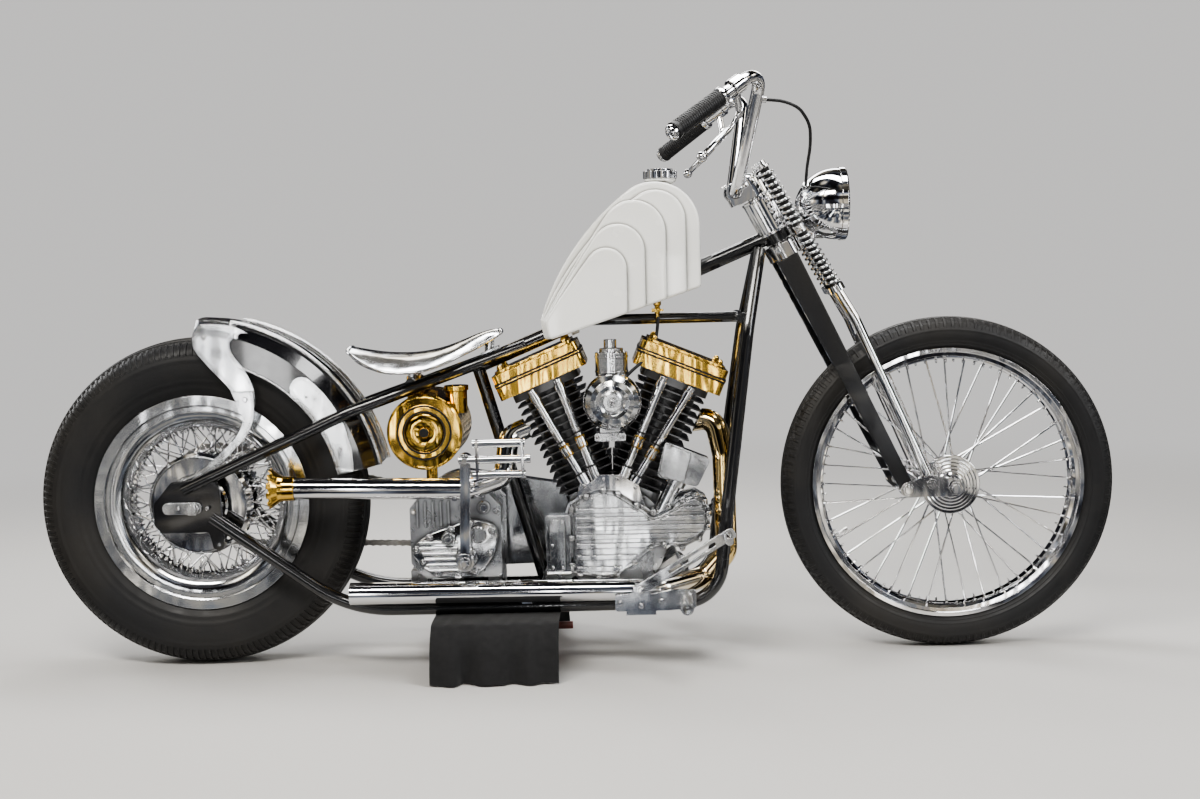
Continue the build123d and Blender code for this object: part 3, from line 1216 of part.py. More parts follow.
# Exhausts: upper from the rear port, lower from the front port, along the right side
pipe_y, upper_r, lower_r, bore_depth = -150.0, 21.5, 22.5, 80.0
upper_run = [
    (-584, pipe_y, 383), (-205, pipe_y, 374), (-142, -118, 392), (-132, -62, 470), (-60, -40, 496),
]
lower_run = [
    (-457, pipe_y, 165), (170, pipe_y, 161), (262, -90, 172), (308, -86, 222),
    (306, -72, 420), (290, -54, 496), (225, -30, 486),
]
upper_back = (Vector(upper_run[1]) - Vector(upper_run[0])).normalized()
lower_back = (Vector(lower_run[1]) - Vector(lower_run[0])).normalized()
with BuildPart() as exhaust_pipes:
    pipe(upper_run, upper_r, 32)
    pipe(lower_run, lower_r, 32)
    rod((-240, pipe_y, 356), (-240, box_right - seat_gap, 356), 7)
    plate([(-110, 138), (-110, 150), (-90, 150), (-90, 138)], -156, -130)
    rod((-110, -rail_y, rail_z), (-90, -rail_y, rail_z), rail_r + seat_gap, Mode.SUBTRACT)
    rod(Vector(upper_run[0]) - upper_back, Vector(upper_run[0]) + bore_depth * upper_back,
        upper_r - 2, Mode.SUBTRACT)
    rod(Vector(lower_run[0]) - lower_back, Vector(lower_run[0]) + bore_depth * lower_back,
        lower_r - 2, Mode.SUBTRACT)
    for side in (-1, 1):
        with BuildSketch(bank_plane(side, deck_h)):
            Rectangle(2 * (fin_half_x + seat_gap), 2 * (fin_half_y + seat_gap))
        extrude(amount=fin_top_h - deck_h, mode=Mode.SUBTRACT)
exhaust_pipes.part.label = "exhaust_pipes"
export_step(exhaust_pipes.part, "parts/exhaust_pipes.step")

# Flared, scalloped tip on the upper exhaust
flare = [
    (-24, 21.8), (-24, 24), (0, 25), (8, 28), (18, 36), (26, 41), (27, 40),
    (19, 33.5), (9, 25.5), (2, 22.5), (0, 21.8),
]
tail = Vector(upper_run[0])
flare_plane = Plane(tail, x_dir=-upper_back, z_dir=(0, -1, 0))
with BuildPart() as exhaust_tip:
    with BuildSketch(flare_plane):
        with BuildLine():
            Polyline(*flare, close=True)
        make_face()
    revolve(axis=Axis(tail, -upper_back))
    with BuildSketch(Plane(tail - 14 * upper_back, z_dir=-upper_back)):
        with PolarLocations(43, 12):
            Circle(6)
    extrude(amount=20, mode=Mode.SUBTRACT)
exhaust_tip.part.label = "exhaust_tip"
export_step(exhaust_tip.part, "parts/exhaust_tip.step")

# Forward controls each side: bracket from the rail, open-ended peg and slotted pedal lever
control_low, control_high = -186.0, -178.0
peg_x, peg_z, peg_r, peg_bore_r, peg_bore, peg_end = 219.0, 146.0, 13.0, 9.0, 40.0, -275.0
control_plate = [
    (78, 124), (78, 157), (112, 160), (118, 180), (142, 180), (150, 158),
    (192, 166), (240, 166), (240, 128), (184, 124),
]
with BuildPart() as forward_controls:
    plate(control_plate, control_low, control_high, 5)
    plate([(100, 116), (100, 130), (160, 130), (160, 116)], control_low, -rail_y)
    drum(peg_x, peg_z, peg_r, peg_end, control_high - 3)
    drum(130, 170, 7, -199, control_high - 3)
    flat_bar((118, 163), (318, 282), 22, -196, -189, 6)
    flat_bar((186, 203), (280, 259), 7, -199, -187, 0, Mode.SUBTRACT)
    rod((304, -192, 274), (304, -262, 274), 8)
    rod((90, -rail_y, rail_z), (170, -rail_y, rail_z), rail_r + seat_gap, Mode.SUBTRACT)
    drum(peg_x, peg_z, peg_bore_r, peg_end - 1, peg_end + peg_bore, Mode.SUBTRACT)
    mirror(about=Plane.XZ)
forward_controls.part.label = "forward_controls"
export_step(forward_controls.part, "parts/forward_controls.step")

# Scissor jack under the rails
jack_back, jack_front, jack_top, jack_bed_y = -273.0, -50.0, 110.5, 190.0
with BuildPart() as support_jack:
    for y in (-90, 60):
        plate([(jack_back, 0), (jack_back, 18), (jack_front, 18), (jack_front, 0)], y, y + 30)
    for x in (jack_back + 10, jack_front - 40):
        plate([(x, 4), (x, 14), (x + 30, 14), (x + 30, 4)], -70, 70)
    plate([(-262, 98), (-262, jack_top), (-56, jack_top), (-56, 98)], -jack_bed_y, jack_bed_y)
    for y in (-58, 50):
        strap([(jack_back + 14, 12), (-162, 57), (jack_front - 14, 103)], 14, y, y + 8, 100)
        strap([(jack_back + 14, 103), (-162, 57), (jack_front - 14, 12)], 14, y, y + 8, 100)
    rod((jack_back - 6, 0, 57), (-14, 0, 57), 8)
    drum(-162, 57, 9, -62, 62)
support_jack.part.label = "support_jack"
export_step(support_jack.part, "parts/support_jack.step")

# Cloth draped over the jack
drape = [(-278, 0), (-262, 60), (-196, jack_top + 2.5), (196, jack_top + 2.5), (262, 60), (278, 0)]
with BuildPart() as jack_cover:
    with BuildSketch(Plane((-292, 0, 0), x_dir=(0, 1, 0), z_dir=(1, 0, 0))):
        with BuildLine():
            Polyline(*drape, *[(y * 0.985, z - 2.4 if z else 0) for y, z in reversed(drape)],
                     close=True)
        make_face()
    extrude(amount=262)
jack_cover.part.label = "jack_cover"
export_step(jack_cover.part, "parts/jack_cover.step")
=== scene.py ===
"""Looks of the chopper motorcycle: materials, fine pieces, light and camera.

Metres, in the part's own frame: +X is forward, +Y the rider's left, +Z up.
"""
import json
from math import atan2, cos, hypot, pi, radians, sin, sqrt

import bmesh
import bpy
from mathutils import Matrix, Vector, noise


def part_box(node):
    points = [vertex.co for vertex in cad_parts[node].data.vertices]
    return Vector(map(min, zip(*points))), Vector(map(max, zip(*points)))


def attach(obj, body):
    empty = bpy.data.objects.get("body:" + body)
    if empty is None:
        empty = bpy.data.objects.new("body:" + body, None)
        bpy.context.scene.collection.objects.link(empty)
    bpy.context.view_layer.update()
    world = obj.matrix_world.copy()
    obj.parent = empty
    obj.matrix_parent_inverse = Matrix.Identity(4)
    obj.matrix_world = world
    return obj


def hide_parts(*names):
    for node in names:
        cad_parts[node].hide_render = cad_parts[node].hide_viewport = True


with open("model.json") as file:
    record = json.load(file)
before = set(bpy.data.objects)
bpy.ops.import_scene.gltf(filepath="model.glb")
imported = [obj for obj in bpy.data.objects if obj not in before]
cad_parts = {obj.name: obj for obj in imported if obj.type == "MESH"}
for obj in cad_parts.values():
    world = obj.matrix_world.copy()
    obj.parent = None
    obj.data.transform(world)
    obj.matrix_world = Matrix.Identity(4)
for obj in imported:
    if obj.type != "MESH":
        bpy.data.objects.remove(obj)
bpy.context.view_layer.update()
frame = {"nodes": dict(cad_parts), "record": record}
nodes = frame["nodes"]
record = frame["record"]

# Camera as the photograph was taken, fitted to both wheels
eye = Vector((0.1067, -3.4092, 0.8388))
yaw, pitch, roll = radians(0.861), radians(-5.110), radians(-1.485)
ahead = Vector((-sin(yaw) * cos(pitch), cos(yaw) * cos(pitch), sin(pitch)))
level = Vector((cos(yaw), sin(yaw), 0))
upright = level.cross(ahead)
right = cos(roll) * level + sin(roll) * upright
above = -sin(roll) * level + cos(roll) * upright
lens = bpy.data.cameras.new("camera")
lens.lens = 49.158
lens.sensor_width = 36
camera = bpy.data.objects.new("camera", lens)
camera.matrix_world = Matrix((
    (right.x, above.x, -ahead.x, eye.x),
    (right.y, above.y, -ahead.y, eye.y),
    (right.z, above.z, -ahead.z, eye.z),
    (0, 0, 0, 1),
))
bpy.context.collection.objects.link(camera)
bpy.context.scene.camera = camera

# Wheels, from the frame
rear_low, rear_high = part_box("rear_tyre")
front_low, front_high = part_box("front_tyre")
rear_r, front_r = (rear_high.z - rear_low.z) / 2, (front_high.z - front_low.z) / 2
rear_axle = Vector((rear_low.x + rear_r, 0, rear_low.z + rear_r))
front_axle = Vector((front_low.x + front_r, 0, front_low.z + front_r))
across, rightward = Vector((0, 1, 0)), Vector((0, -1, 0))

# Steering head and engine, with the rocker covers' heights up each cylinder, as in the part
rake, head = radians(27.5), Vector((0.409, 0, 0.902))
crank, bank = Vector((0.078, 0, 0.252)), radians(22.5)
cover_low_h, cover_split_h, cover_top_h = 0.353, 0.384, 0.412
cover_half_x, cover_half_y = 0.095, 0.088
steer_axis = Vector((-sin(rake), 0, cos(rake)))


def fork_point(offset, up, y=0.0):
    """Point given by its offset ahead of the steering axis and its height along it."""
    c, s = cos(rake), sin(rake)
    return Vector((head.x + offset * c - up * s, y, head.z + offset * s + up * c))


def bank_point(side, beside, up, y=0.0):
    """Point given by its distance across a cylinder's axis and its height above the crank."""
    c, s = cos(bank), side * sin(bank)
    return Vector((crank.x + beside * c + up * s, y, crank.z - beside * s + up * c))


def wheel_point(axle, radius, angle, y=0.0):
    """Point round a wheel at a radius and an angle, y to the left."""
    return axle + Vector((radius * cos(angle), y, radius * sin(angle)))


# Shader nodes
def feed(tree, node, values):
    """Sets a node's inputs, or joins them where the value is another node's output."""
    for key, value in values.items():
        if isinstance(value, bpy.types.NodeSocket):
            tree.links.new(value, node.inputs[key])
        else:
            node.inputs[key].default_value = value


def add_node(tree, kind, values):
    """Adds a shader node with its inputs fed."""
    node = tree.nodes.new("ShaderNode" + kind)
    feed(tree, node, values)
    return node


def place_in(tree, space="Object"):
    """Position on the surface, or the direction looked at for a world."""
    return tree.nodes.new("ShaderNodeTexCoord").outputs[space]


def stretched(tree, place, scale):
    """Position scaled along each axis."""
    return add_node(tree, "Mapping", {"Vector": place, "Scale": scale}).outputs["Vector"]


def cloud(tree, place, scale, detail):
    """Noise value over a position."""
    return add_node(tree, "TexNoise", {"Vector": place, "Scale": scale, "Detail": detail}).outputs["Fac"]


def spanned(tree, value, low, high, start=0.0, end=1.0):
    """Value moved from the range low to high into the range start to end."""
    span = {"Value": value, "From Min": low, "From Max": high, "To Min": start, "To Max": end}
    return add_node(tree, "MapRange", span).outputs["Result"]


def mixed(tree, share, first, second, blend="MIX"):
    """Colour made of two others."""
    node = tree.nodes.new("ShaderNodeMix")
    node.data_type = "RGBA"
    node.blend_type = blend
    feed(tree, node, {"Factor": share, "A": first, "B": second})
    return node.outputs["Result"]


def raised(tree, surface, height, strength, distance):
    """Surface normal bent by a height."""
    values = {"Normal": surface, "Height": height, "Strength": strength, "Distance": distance}
    return add_node(tree, "Bump", values).outputs["Normal"]


def product(tree, first, second):
    """Product of two values."""
    node = add_node(tree, "Math", {0: first, 1: second})
    node.operation = "MULTIPLY"
    return node.outputs["Value"]


def length_of(tree, vector):
    """Length of a vector."""
    node = add_node(tree, "VectorMath", {0: vector})
    node.operation = "LENGTH"
    return node.outputs["Value"]


def ramp_of(tree, value, stops):
    """Colours of (position, colour) stops over a value."""
    node = add_node(tree, "ValToRGB", {"Fac": value})
    elements = node.color_ramp.elements
    for position, _ in stops[1:-1]:
        elements.new(position)
    for element, (position, tone) in zip(elements, stops):
        element.position = position
        element.color = (*tone, 1)
    return node.outputs["Color"]


# Materials
coat_rough, grain_relief, least_rough = 0.04, 0.0006, 0.01


def material(name, color, metallic=0.0, rough=0.4, coat=0.0, spread=0.06, grain=0.0, scale=40.0,
             tint=None, tint_scale=6.0, stretch=(1, 1, 1), sheen=0.0, edge=0.0012, wave=0.0,
             wave_scale=30.0, wave_stretch=(1, 1, 0.3), shade_and_grime=None, shade_and_grime_reach=0.006):
    """Principled surface whose roughness, tint and relief vary by noise over the object.

    edge rounds the shading of sharp edges, wave is the unevenness of hand polishing, and the corner colour is
    painted shade with grime: ambient occlusion mixes it into corners and creases, out to its reach."""
    made = bpy.data.materials.new(name)
    made.use_nodes = True
    tree = made.node_tree
    shader = tree.nodes["Principled BSDF"]
    feed(tree, shader, {"Base Color": (*color, 1), "Metallic": metallic, "Coat Weight": coat,
                        "Coat Roughness": coat_rough, "Sheen Weight": sheen})
    place = place_in(tree)
    spot = stretched(tree, place, stretch)
    paint = (*color, 1)
    if tint:
        patch = spanned(tree, cloud(tree, spot, tint_scale, 4), 0.42, 0.68)
        paint = mixed(tree, patch, paint, (*tint, 1))
    # Painted shade: ambient occlusion darkens the base colour in corners and creases, standing in for shade
    # there, with grime
    if shade_and_grime:
        corner = add_node(tree, "AmbientOcclusion", {"Distance": shade_and_grime_reach})
        corner.samples = 6
        unshaded_share = spanned(tree, corner.outputs["AO"], 0.45, 0.92)
        paint = mixed(tree, unshaded_share, (*shade_and_grime, 1), paint)
    round_edge = add_node(tree, "Bevel", {"Radius": edge})
    round_edge.samples = 4
    surface = round_edge.outputs["Normal"]
    if wave:
        swell = cloud(tree, stretched(tree, place, wave_stretch), wave_scale, 1)
        surface = raised(tree, surface, swell, 1.0, wave)
    if grain:
        surface = raised(tree, surface, cloud(tree, spot, scale * 8, 3), grain, grain_relief)
    gloss = spanned(tree, cloud(tree, spot, scale, 5), 0.3, 0.7,
                    max(rough - spread, least_rough), rough + spread)
    feed(tree, shader, {"Base Color": paint, "Roughness": gloss, "Normal": surface})
    return made


def tint_by_heat(made, hot, start, end):
    """Colours a chrome pipe towards its hot end, along x from start to end."""
    tree = made.node_tree
    shader = tree.nodes["Principled BSDF"]
    along = add_node(tree, "SeparateXYZ", {"Vector": place_in(tree)}).outputs["X"]
    cool = tuple(shader.inputs["Base Color"].default_value)
    feed(tree, shader, {"Base Color": mixed(tree, spanned(tree, along, start, end), cool, (*hot, 1))})
    return made


def lens_material():
    """Clear pressed glass with faint ripples."""
    made = bpy.data.materials.new("lens_glass")
    made.use_nodes = True
    tree = made.node_tree
    ripple = add_node(tree, "TexWave", {"Scale": 28})
    ripple.bands_direction = "Y"
    press = add_node(tree, "Bump", {"Height": ripple.outputs["Fac"], "Strength": 0.25, "Distance": 0.001})
    feed(tree, tree.nodes["Principled BSDF"], {
        "Base Color": (0.95, 0.96, 0.96, 1), "Roughness": 0.03, "Transmission Weight": 1.0,
        "Normal": press.outputs["Normal"],
    })
    return made


# The corner colours below are painted shade with grime, mixed in by ambient occlusion
finishes = {
    "frame_black": dict(color=(0.007, 0.007, 0.008), rough=0.16, coat=1.0, spread=0.04, edge=0.005,
                        wave=0.0008, wave_scale=16),
    "fender_black": dict(color=(0.005, 0.005, 0.006), rough=0.14, coat=1.0, spread=0.03, edge=0.002,
                         wave=0.0006, wave_scale=12),
    "tank_white": dict(color=(0.86, 0.86, 0.83), rough=0.24, coat=0.7, spread=0.05, grain=0.03, scale=30,
                       tint=(0.80, 0.80, 0.76), tint_scale=4, edge=0.0008, shade_and_grime=(0.16, 0.15, 0.13),
                       shade_and_grime_reach=0.007),
    "chrome": dict(color=(0.80, 0.80, 0.81), metallic=1.0, rough=0.07, spread=0.03, scale=18,
                   wave=0.0004, wave_scale=40, shade_and_grime=(0.18, 0.17, 0.16), shade_and_grime_reach=0.003),
    "polished": dict(color=(0.74, 0.75, 0.76), metallic=1.0, rough=0.15, grain=0.05, scale=24,
                     tint=(0.60, 0.61, 0.63), stretch=(0.4, 1, 1.6), edge=0.002, wave=0.0022,
                     wave_scale=22, shade_and_grime=(0.16, 0.16, 0.16)),
    "case_metal": dict(color=(0.50, 0.51, 0.52), metallic=1.0, rough=0.30, spread=0.1, grain=0.4, scale=34,
                       tint=(0.24, 0.24, 0.25), tint_scale=14, edge=0.002, wave=0.002, wave_scale=26,
                       shade_and_grime=(0.05, 0.05, 0.05), shade_and_grime_reach=0.012),
    "cylinder_black": dict(color=(0.028, 0.028, 0.030), rough=0.36, spread=0.1, grain=0.3, scale=40,
                           coat=0.3, tint=(0.055, 0.055, 0.058), tint_scale=30),
    "brass": dict(color=(0.86, 0.58, 0.15), metallic=1.0, rough=0.12, spread=0.05, grain=0.04, scale=25,
                  tint=(0.74, 0.46, 0.10), tint_scale=12, edge=0.0025, wave=0.002, wave_scale=34,
                  wave_stretch=(1, 1, 0.2), shade_and_grime=(0.10, 0.05, 0.01)),
    "chain_steel": dict(color=(0.33, 0.32, 0.30), metallic=1.0, rough=0.4, spread=0.1, grain=0.2, scale=60,
                        tint=(0.12, 0.11, 0.10), edge=0.0005),
    "tyre_rubber": dict(color=(0.010, 0.010, 0.011), rough=0.52, spread=0.1, grain=0.25, scale=40,
                        tint=(0.022, 0.020, 0.018), tint_scale=5, edge=0.0006),
    "grip_rubber": dict(color=(0.012, 0.012, 0.013), rough=0.45, spread=0.08, grain=0.3),
    "jack_red": dict(color=(0.20, 0.035, 0.025), rough=0.45, spread=0.12, grain=0.3,
                     tint=(0.10, 0.05, 0.04), tint_scale=25),
    "cloth_black": dict(color=(0.008, 0.008, 0.009), rough=0.85, spread=0.05, grain=0.7, scale=70,
                        sheen=0.15),
}
looks = {name: material(name, **values) for name, values in finishes.items()}
looks["lens_glass"] = lens_material()

# Looks of single pieces, apart from their slot's own
# The corner colour of satin_chrome is painted shade with grime too
satin = material("satin_chrome", (0.78, 0.79, 0.80), metallic=1.0, rough=0.16, spread=0.05, scale=30,
                 stretch=(1, 0.3, 1), shade_and_grime=(0.10, 0.10, 0.10), shade_and_grime_reach=0.004)
# Near-black of dark joints, also used as painted shade inside the springs
seam_and_shade_black = material("seam_and_shade_black", (0.004, 0.004, 0.004), rough=0.6, spread=0.05)
domed = material("domed_trim", (0.78, 0.79, 0.80), metallic=1.0, rough=0.14, spread=0.05, grain=0.04,
                 tint=(0.66, 0.67, 0.69), edge=0.011, wave=0.001, wave_scale=20)
heated = tint_by_heat(
    material("heated_chrome", (0.80, 0.80, 0.81), metallic=1.0, rough=0.07, spread=0.03, scale=18),
    (0.78, 0.58, 0.26), 0.16, 0.30,
)


def finish_with(obj, slot_name, look=None):
    """Gives a piece its look, the slot's own unless another look is given."""
    obj.data.materials.clear()
    obj.data.materials.append(look or looks[slot_name])
    return obj


for entry in record["subparts"]:
    finish_with(nodes[entry["node"]], entry["material_slot"])
finish_with(nodes["exhaust_pipes"], "chrome", heated)
finish_with(nodes["carburettor"], "chrome", satin)
finish_with(nodes["fender_trim"], "polished", domed)


# Mesh makers
def piece_from(bm, name, slot_name, body, sharp=35, look=None):
    """Makes a piece of one look from a bmesh and lets it ride on a body."""
    mesh = bpy.data.meshes.new(name)
    bmesh.ops.recalc_face_normals(bm, faces=bm.faces)
    bm.to_mesh(mesh)
    bm.free()
    for face in mesh.polygons:
        face.use_smooth = True
    mesh.set_sharp_from_angle(angle=radians(sharp))
    piece = bpy.data.objects.new(name, mesh)
    bpy.context.collection.objects.link(piece)
    finish_with(piece, slot_name, look)
    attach(piece, body)
    return piece


def skin(bm, rings, looped=False, whole=True):
    """Joins each ring of corners to the next: looped joins the last ring to the first, and
    whole joins a ring's last corner to its first."""
    corners = len(rings[0])
    for k in range(len(rings) if looped else len(rings) - 1):
        ring, beside = rings[k], rings[(k + 1) % len(rings)]
        for i in range(corners if whole else corners - 1):
            j = (i + 1) % corners
            bm.faces.new((ring[i], beside[i], beside[j], ring[j]))


def lathe(bm, profile, foot, axis, steps=32, closed=False, shape=None):
    """Adds a turned form of (distance along the axis, radius) corners, its ends closed.

    shape(turn) scales the radius at a share of a turn, for flutes and flats."""
    axis = Vector(axis).normalized()
    side = axis.orthogonal().normalized()
    up = axis.cross(side)
    rings = []
    for k in range(steps):
        turn = k / steps
        grow = shape(turn) if shape else 1
        arm = cos(2 * pi * turn) * side + sin(2 * pi * turn) * up
        rings.append([bm.verts.new(Vector(foot) + s * axis + r * grow * arm) for s, r in profile])
    skin(bm, rings, True, closed)
    if not closed:
        bm.faces.new([ring[0] for ring in rings])
        bm.faces.new([ring[-1] for ring in rings])


def band(bm, foot, axis, start, end, inner, outer, steps=48):
    """Adds a flat ring between two distances along the axis and between two radii."""
    lathe(bm, [(start, inner), (start, outer), (end, outer), (end, inner)], foot, axis, steps, True)


def tube(bm, points, radius, sides=10, closed=False):
    """Adds a round tube along points."""
    points = [Vector(p) for p in points]
    count = len(points)
    rings, normal = [], None
    for k, here in enumerate(points):
        back = points[k - 1] if (k or closed) else here
        on = points[(k + 1) % count] if (k < count - 1 or closed) else here
        along = (on - back).normalized()
        base = normal or along.orthogonal()
        normal = (base - base.dot(along) * along).normalized()
        other = along.cross(normal)
        turns = [2 * pi * i / sides for i in range(sides)]
        rings.append([bm.verts.new(here + radius * (cos(a) * normal + sin(a) * other)) for a in turns])
    skin(bm, rings, closed)
    if not closed:
        bm.faces.new(rings[0])
        bm.faces.new(rings[-1])


def slab(bm, outline, low, high):
    """Adds a flat plate of (x, z) corners between two y values."""
    ends = [[bm.verts.new((x, y, z)) for x, z in outline] for y in (low, high)]
    skin(bm, ends)
    bm.faces.new(ends[0])
    bm.faces.new(ends[1])


def bolt(bm, place, axis, radius, washer=True):
    """Adds a hex head with a chamfer, on a washer."""
    height = radius * 1.1
    lift = radius * 0.25 if washer else 0.0
    if washer:
        lathe(bm, [(-0.001, radius * 1.35), (lift, radius * 1.35)], place, axis, 16)
    profile = [(-0.001, radius), (height * 0.85 + lift, radius), (height + lift, radius * 0.8)]
    lathe(bm, profile, place, axis, 6)


def dome(bm, place, axis, radius, steps=14):
    """Adds a round screw head with a socket in it."""
    profile = [(-0.001, radius), (0.35 * radius, radius), (0.75 * radius, 0.75 * radius),
               (0.85 * radius, 0.45 * radius), (0.5 * radius, 0.42 * radius)]
    lathe(bm, profile, place, axis, steps)


def flow(points, steps=8, closed=False):
    """Points along a smooth line through the given ones."""
    points = [Vector(p) for p in points]
    count = len(points)
    spans = count if closed else count - 1
    line = []
    for k in range(spans):
        if closed:
            a, b, c, d = (points[(k + i) % count] for i in (-1, 0, 1, 2))
        else:
            b, c = points[k], points[k + 1]
            a = points[k - 1] if k else b
            d = points[k + 2] if k + 2 < count else c
        for i in range(steps):
            t = i / steps
            line.append(0.5 * (2 * b + (c - a) * t + (2 * a - 5 * b + 4 * c - d) * t ** 2
                               + (3 * b - a - 3 * c + d) * t ** 3))
    if not closed:
        line.append(points[-1])
    return line


def arc_through(a, b, c, steps):
    """Points on the arc from a through b to c, in a plane."""
    (ax, ay), (bx, by), (cx, cy) = a, b, c
    d = 2 * (ax * (by - cy) + bx * (cy - ay) + cx * (ay - by))
    ox = ((ax * ax + ay * ay) * (by - cy) + (bx * bx + by * by) * (cy - ay)
          + (cx * cx + cy * cy) * (ay - by)) / d
    oy = ((ax * ax + ay * ay) * (cx - bx) + (bx * bx + by * by) * (ax - cx)
          + (cx * cx + cy * cy) * (bx - ax)) / d
    radius = hypot(ax - ox, ay - oy)
    start, end = atan2(ay - oy, ax - ox), atan2(cy - oy, cx - ox)
    if end - start > pi:
        end -= 2 * pi
    if start - end > pi:
        end += 2 * pi
    turns = [start + (end - start) * k / steps for k in range(steps + 1)]
    return [(ox + radius * cos(t), oy + radius * sin(t)) for t in turns]


# Tyres
def tyre(name, node, axle, body, width, rim_radius, rim_width, grooves, teeth, depth):
    """Tyre of the CAD's section, with tread grooves, shoulder blocks and raised sidewall rings."""
    low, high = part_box(node)
    radius = (high.z - low.z) / 2
    half, bead, middle = width / 2, rim_width / 2 - 0.004, (radius + rim_radius) / 2
    crown_half, crown_drop = 0.4 * width, 0.12 * width
    shoulder = radius - crown_drop
    bend = (crown_half ** 2 + crown_drop ** 2) / (2 * crown_drop)
    cut, slope = 0.0016, 0.0008
    section = []
    tread = [-crown_half + crown_half * k / 8 for k in range(17)]
    for y in tread:
        if all(abs(y - g) > 2.2 * cut for g in grooves):
            section.append((y, 0.0, abs(y) > 0.55 * crown_half))
    for g in grooves:
        for offset, drop in ((-cut - slope, 0), (-cut, depth), (cut, depth), (cut + slope, 0)):
            section.append((g + offset, drop, False))
    section.sort()
    crown = [(y, radius - (bend - sqrt(bend ** 2 - y ** 2)) - drop, notched)
             for y, drop, notched in section]
    wall = arc_through((half - 0.003, shoulder - 0.1 * width), (half, middle),
                       (bead, rim_radius + 0.0003), 26)
    raised_rings = {4: 0.0008, 5: 0.0008, 17: 0.0008, 21: 0.001, 22: 0.001}
    wall = [(y + raised_rings.get(k, 0.0), r, k < 2) for k, (y, r) in enumerate(wall)]
    wall += [(bead, rim_radius - 0.008, False), (bead - 0.006, rim_radius - 0.0137, False)]
    outline = [(-y, r, c) for y, r, c in reversed(wall)] + crown + wall
    bm = bmesh.new()
    loops = []
    for k in range(teeth * 4):
        share = (k // 4 + (0.0, 0.07, 0.62, 0.69)[k % 4]) / teeth
        sunk = k % 4 in (1, 2)
        loop = []
        for y, r, notched in outline:
            drop = depth * 0.8 if sunk and notched else 0.0
            inward = drop * 0.5 if abs(y) > crown_half else 0.0
            spot = wheel_point(axle, r - drop, 2 * pi * share, y - inward * (1 if y > 0 else -1))
            loop.append(bm.verts.new(spot))
        loops.append(loop)
    skin(bm, loops, True)
    made = piece_from(bm, name, "tyre_rubber", body, 28)
    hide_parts(node)


rear_grooves = (-0.034, -0.019, -0.006, 0.006, 0.019, 0.034)
tyre("rear_tyre_tread", "rear_tyre", rear_axle, "rear_wheel", 0.130, 0.224, 0.104, rear_grooves, 150, 0.004)
tyre("front_tyre_tread", "front_tyre", front_axle, "front_wheel", 0.080, 0.281, 0.060,
     (-0.016, -0.006, 0.006, 0.016), 130, 0.003)


# Wheel details
rear_spokes, front_spokes = 40, 20


def nipples(bm, axle, radius, y, count, size, shift=0.0):
    """Adds a ring of spoke nipples that point at the hub."""
    for k in range(count):
        angle = 2 * pi * (k + shift) / count
        outer = wheel_point(axle, radius, angle, y)
        inner = wheel_point(axle, radius - 4 * size, angle, y * 0.94)
        profile = [(0, size), (0.5 * size, size * 1.25), (3.2 * size, size), (4 * size, size * 0.7)]
        lathe(bm, profile, outer, inner - outer, 6)


def rear_lacing():
    """Second lacing of short spokes on the rear wheel, between the CAD's own."""
    bm = bmesh.new()
    flange_r, flange_y, rim_r, rim_y, lean, wire = 0.096, 0.064, 0.157, 0.016, radians(13), 0.0016
    for side in (-1, 1):
        for k in range(rear_spokes):
            start, turn = 2 * pi * (k + 0.5) / rear_spokes, lean * (1 if k % 2 else -1)
            foot = wheel_point(rear_axle, flange_r, start, side * flange_y)
            run = wheel_point(rear_axle, rim_r, start + turn, side * rim_y) - foot
            lathe(bm, [(0, wire), (run.length, wire)], foot, run, 6)
    piece_from(bm, "rear_lacing", "chrome", "rear_wheel")


def wheel_details():
    """Nipples and valve stems of both wheels, and the rear hub's bolts with their ring."""
    bm = bmesh.new()
    rear_seat_r, front_seat_r = 0.1565, 0.2575
    for y, shift in ((-0.012, 0.0), (-0.020, 0.5), (0.012, 0.25), (0.020, 0.75)):
        nipples(bm, rear_axle, rear_seat_r, y, rear_spokes, 0.0022, shift)
    piece_from(bm, "rear_nipples", "chrome", "rear_wheel")
    bm = bmesh.new()
    for y, shift in ((-0.010, 0.0), (-0.010, 0.25), (0.010, 0.5), (0.010, 0.75)):
        nipples(bm, front_axle, front_seat_r, y, front_spokes, 0.0021, shift)
    piece_from(bm, "front_nipples", "chrome", "front_wheel")
    bm = bmesh.new()
    flange_bolts, hub_bolts = 10, 5
    for k in range(flange_bolts):
        a = 2 * pi * (k + 0.5) / flange_bolts
        bolt(bm, wheel_point(rear_axle, 0.100, a, -0.072), rightward, 0.0035)
    for k in range(hub_bolts):
        a = 2 * pi * k / hub_bolts
        bolt(bm, wheel_point(rear_axle, 0.047, a, -0.075), rightward, 0.0045)
        bolt(bm, wheel_point(rear_axle, 0.078, a, 0.0865), across, 0.005)
    ring = [(-0.0755, 0.098), (-0.0735, 0.0975), (-0.0735, 0.1005), (-0.0755, 0.1)]
    lathe(bm, ring, rear_axle, across, 72, True)
    piece_from(bm, "rear_hub_bolts", "polished", "rear_wheel")
    for axle, radius, name, body in ((rear_axle, 0.160, "rear_valve", "rear_wheel"),
                                     (front_axle, 0.255, "front_valve", "front_wheel")):
        stem = bmesh.new()
        foot = wheel_point(axle, radius + 0.004, radians(205))
        lathe(stem, [(0, 0.004), (0.004, 0.003), (0.022, 0.003), (0.023, 0.0042), (0.032, 0.004)],
              foot, axle - foot, 10)
        piece_from(stem, name, "chrome", body)


wheel_details()
rear_lacing()


# Final drive chain
chain_y, rear_pitch_r, drive_pitch_r = 0.084, 0.105, 0.048
drive = Vector((-0.240, 0, 0.270))
joint_count = 98


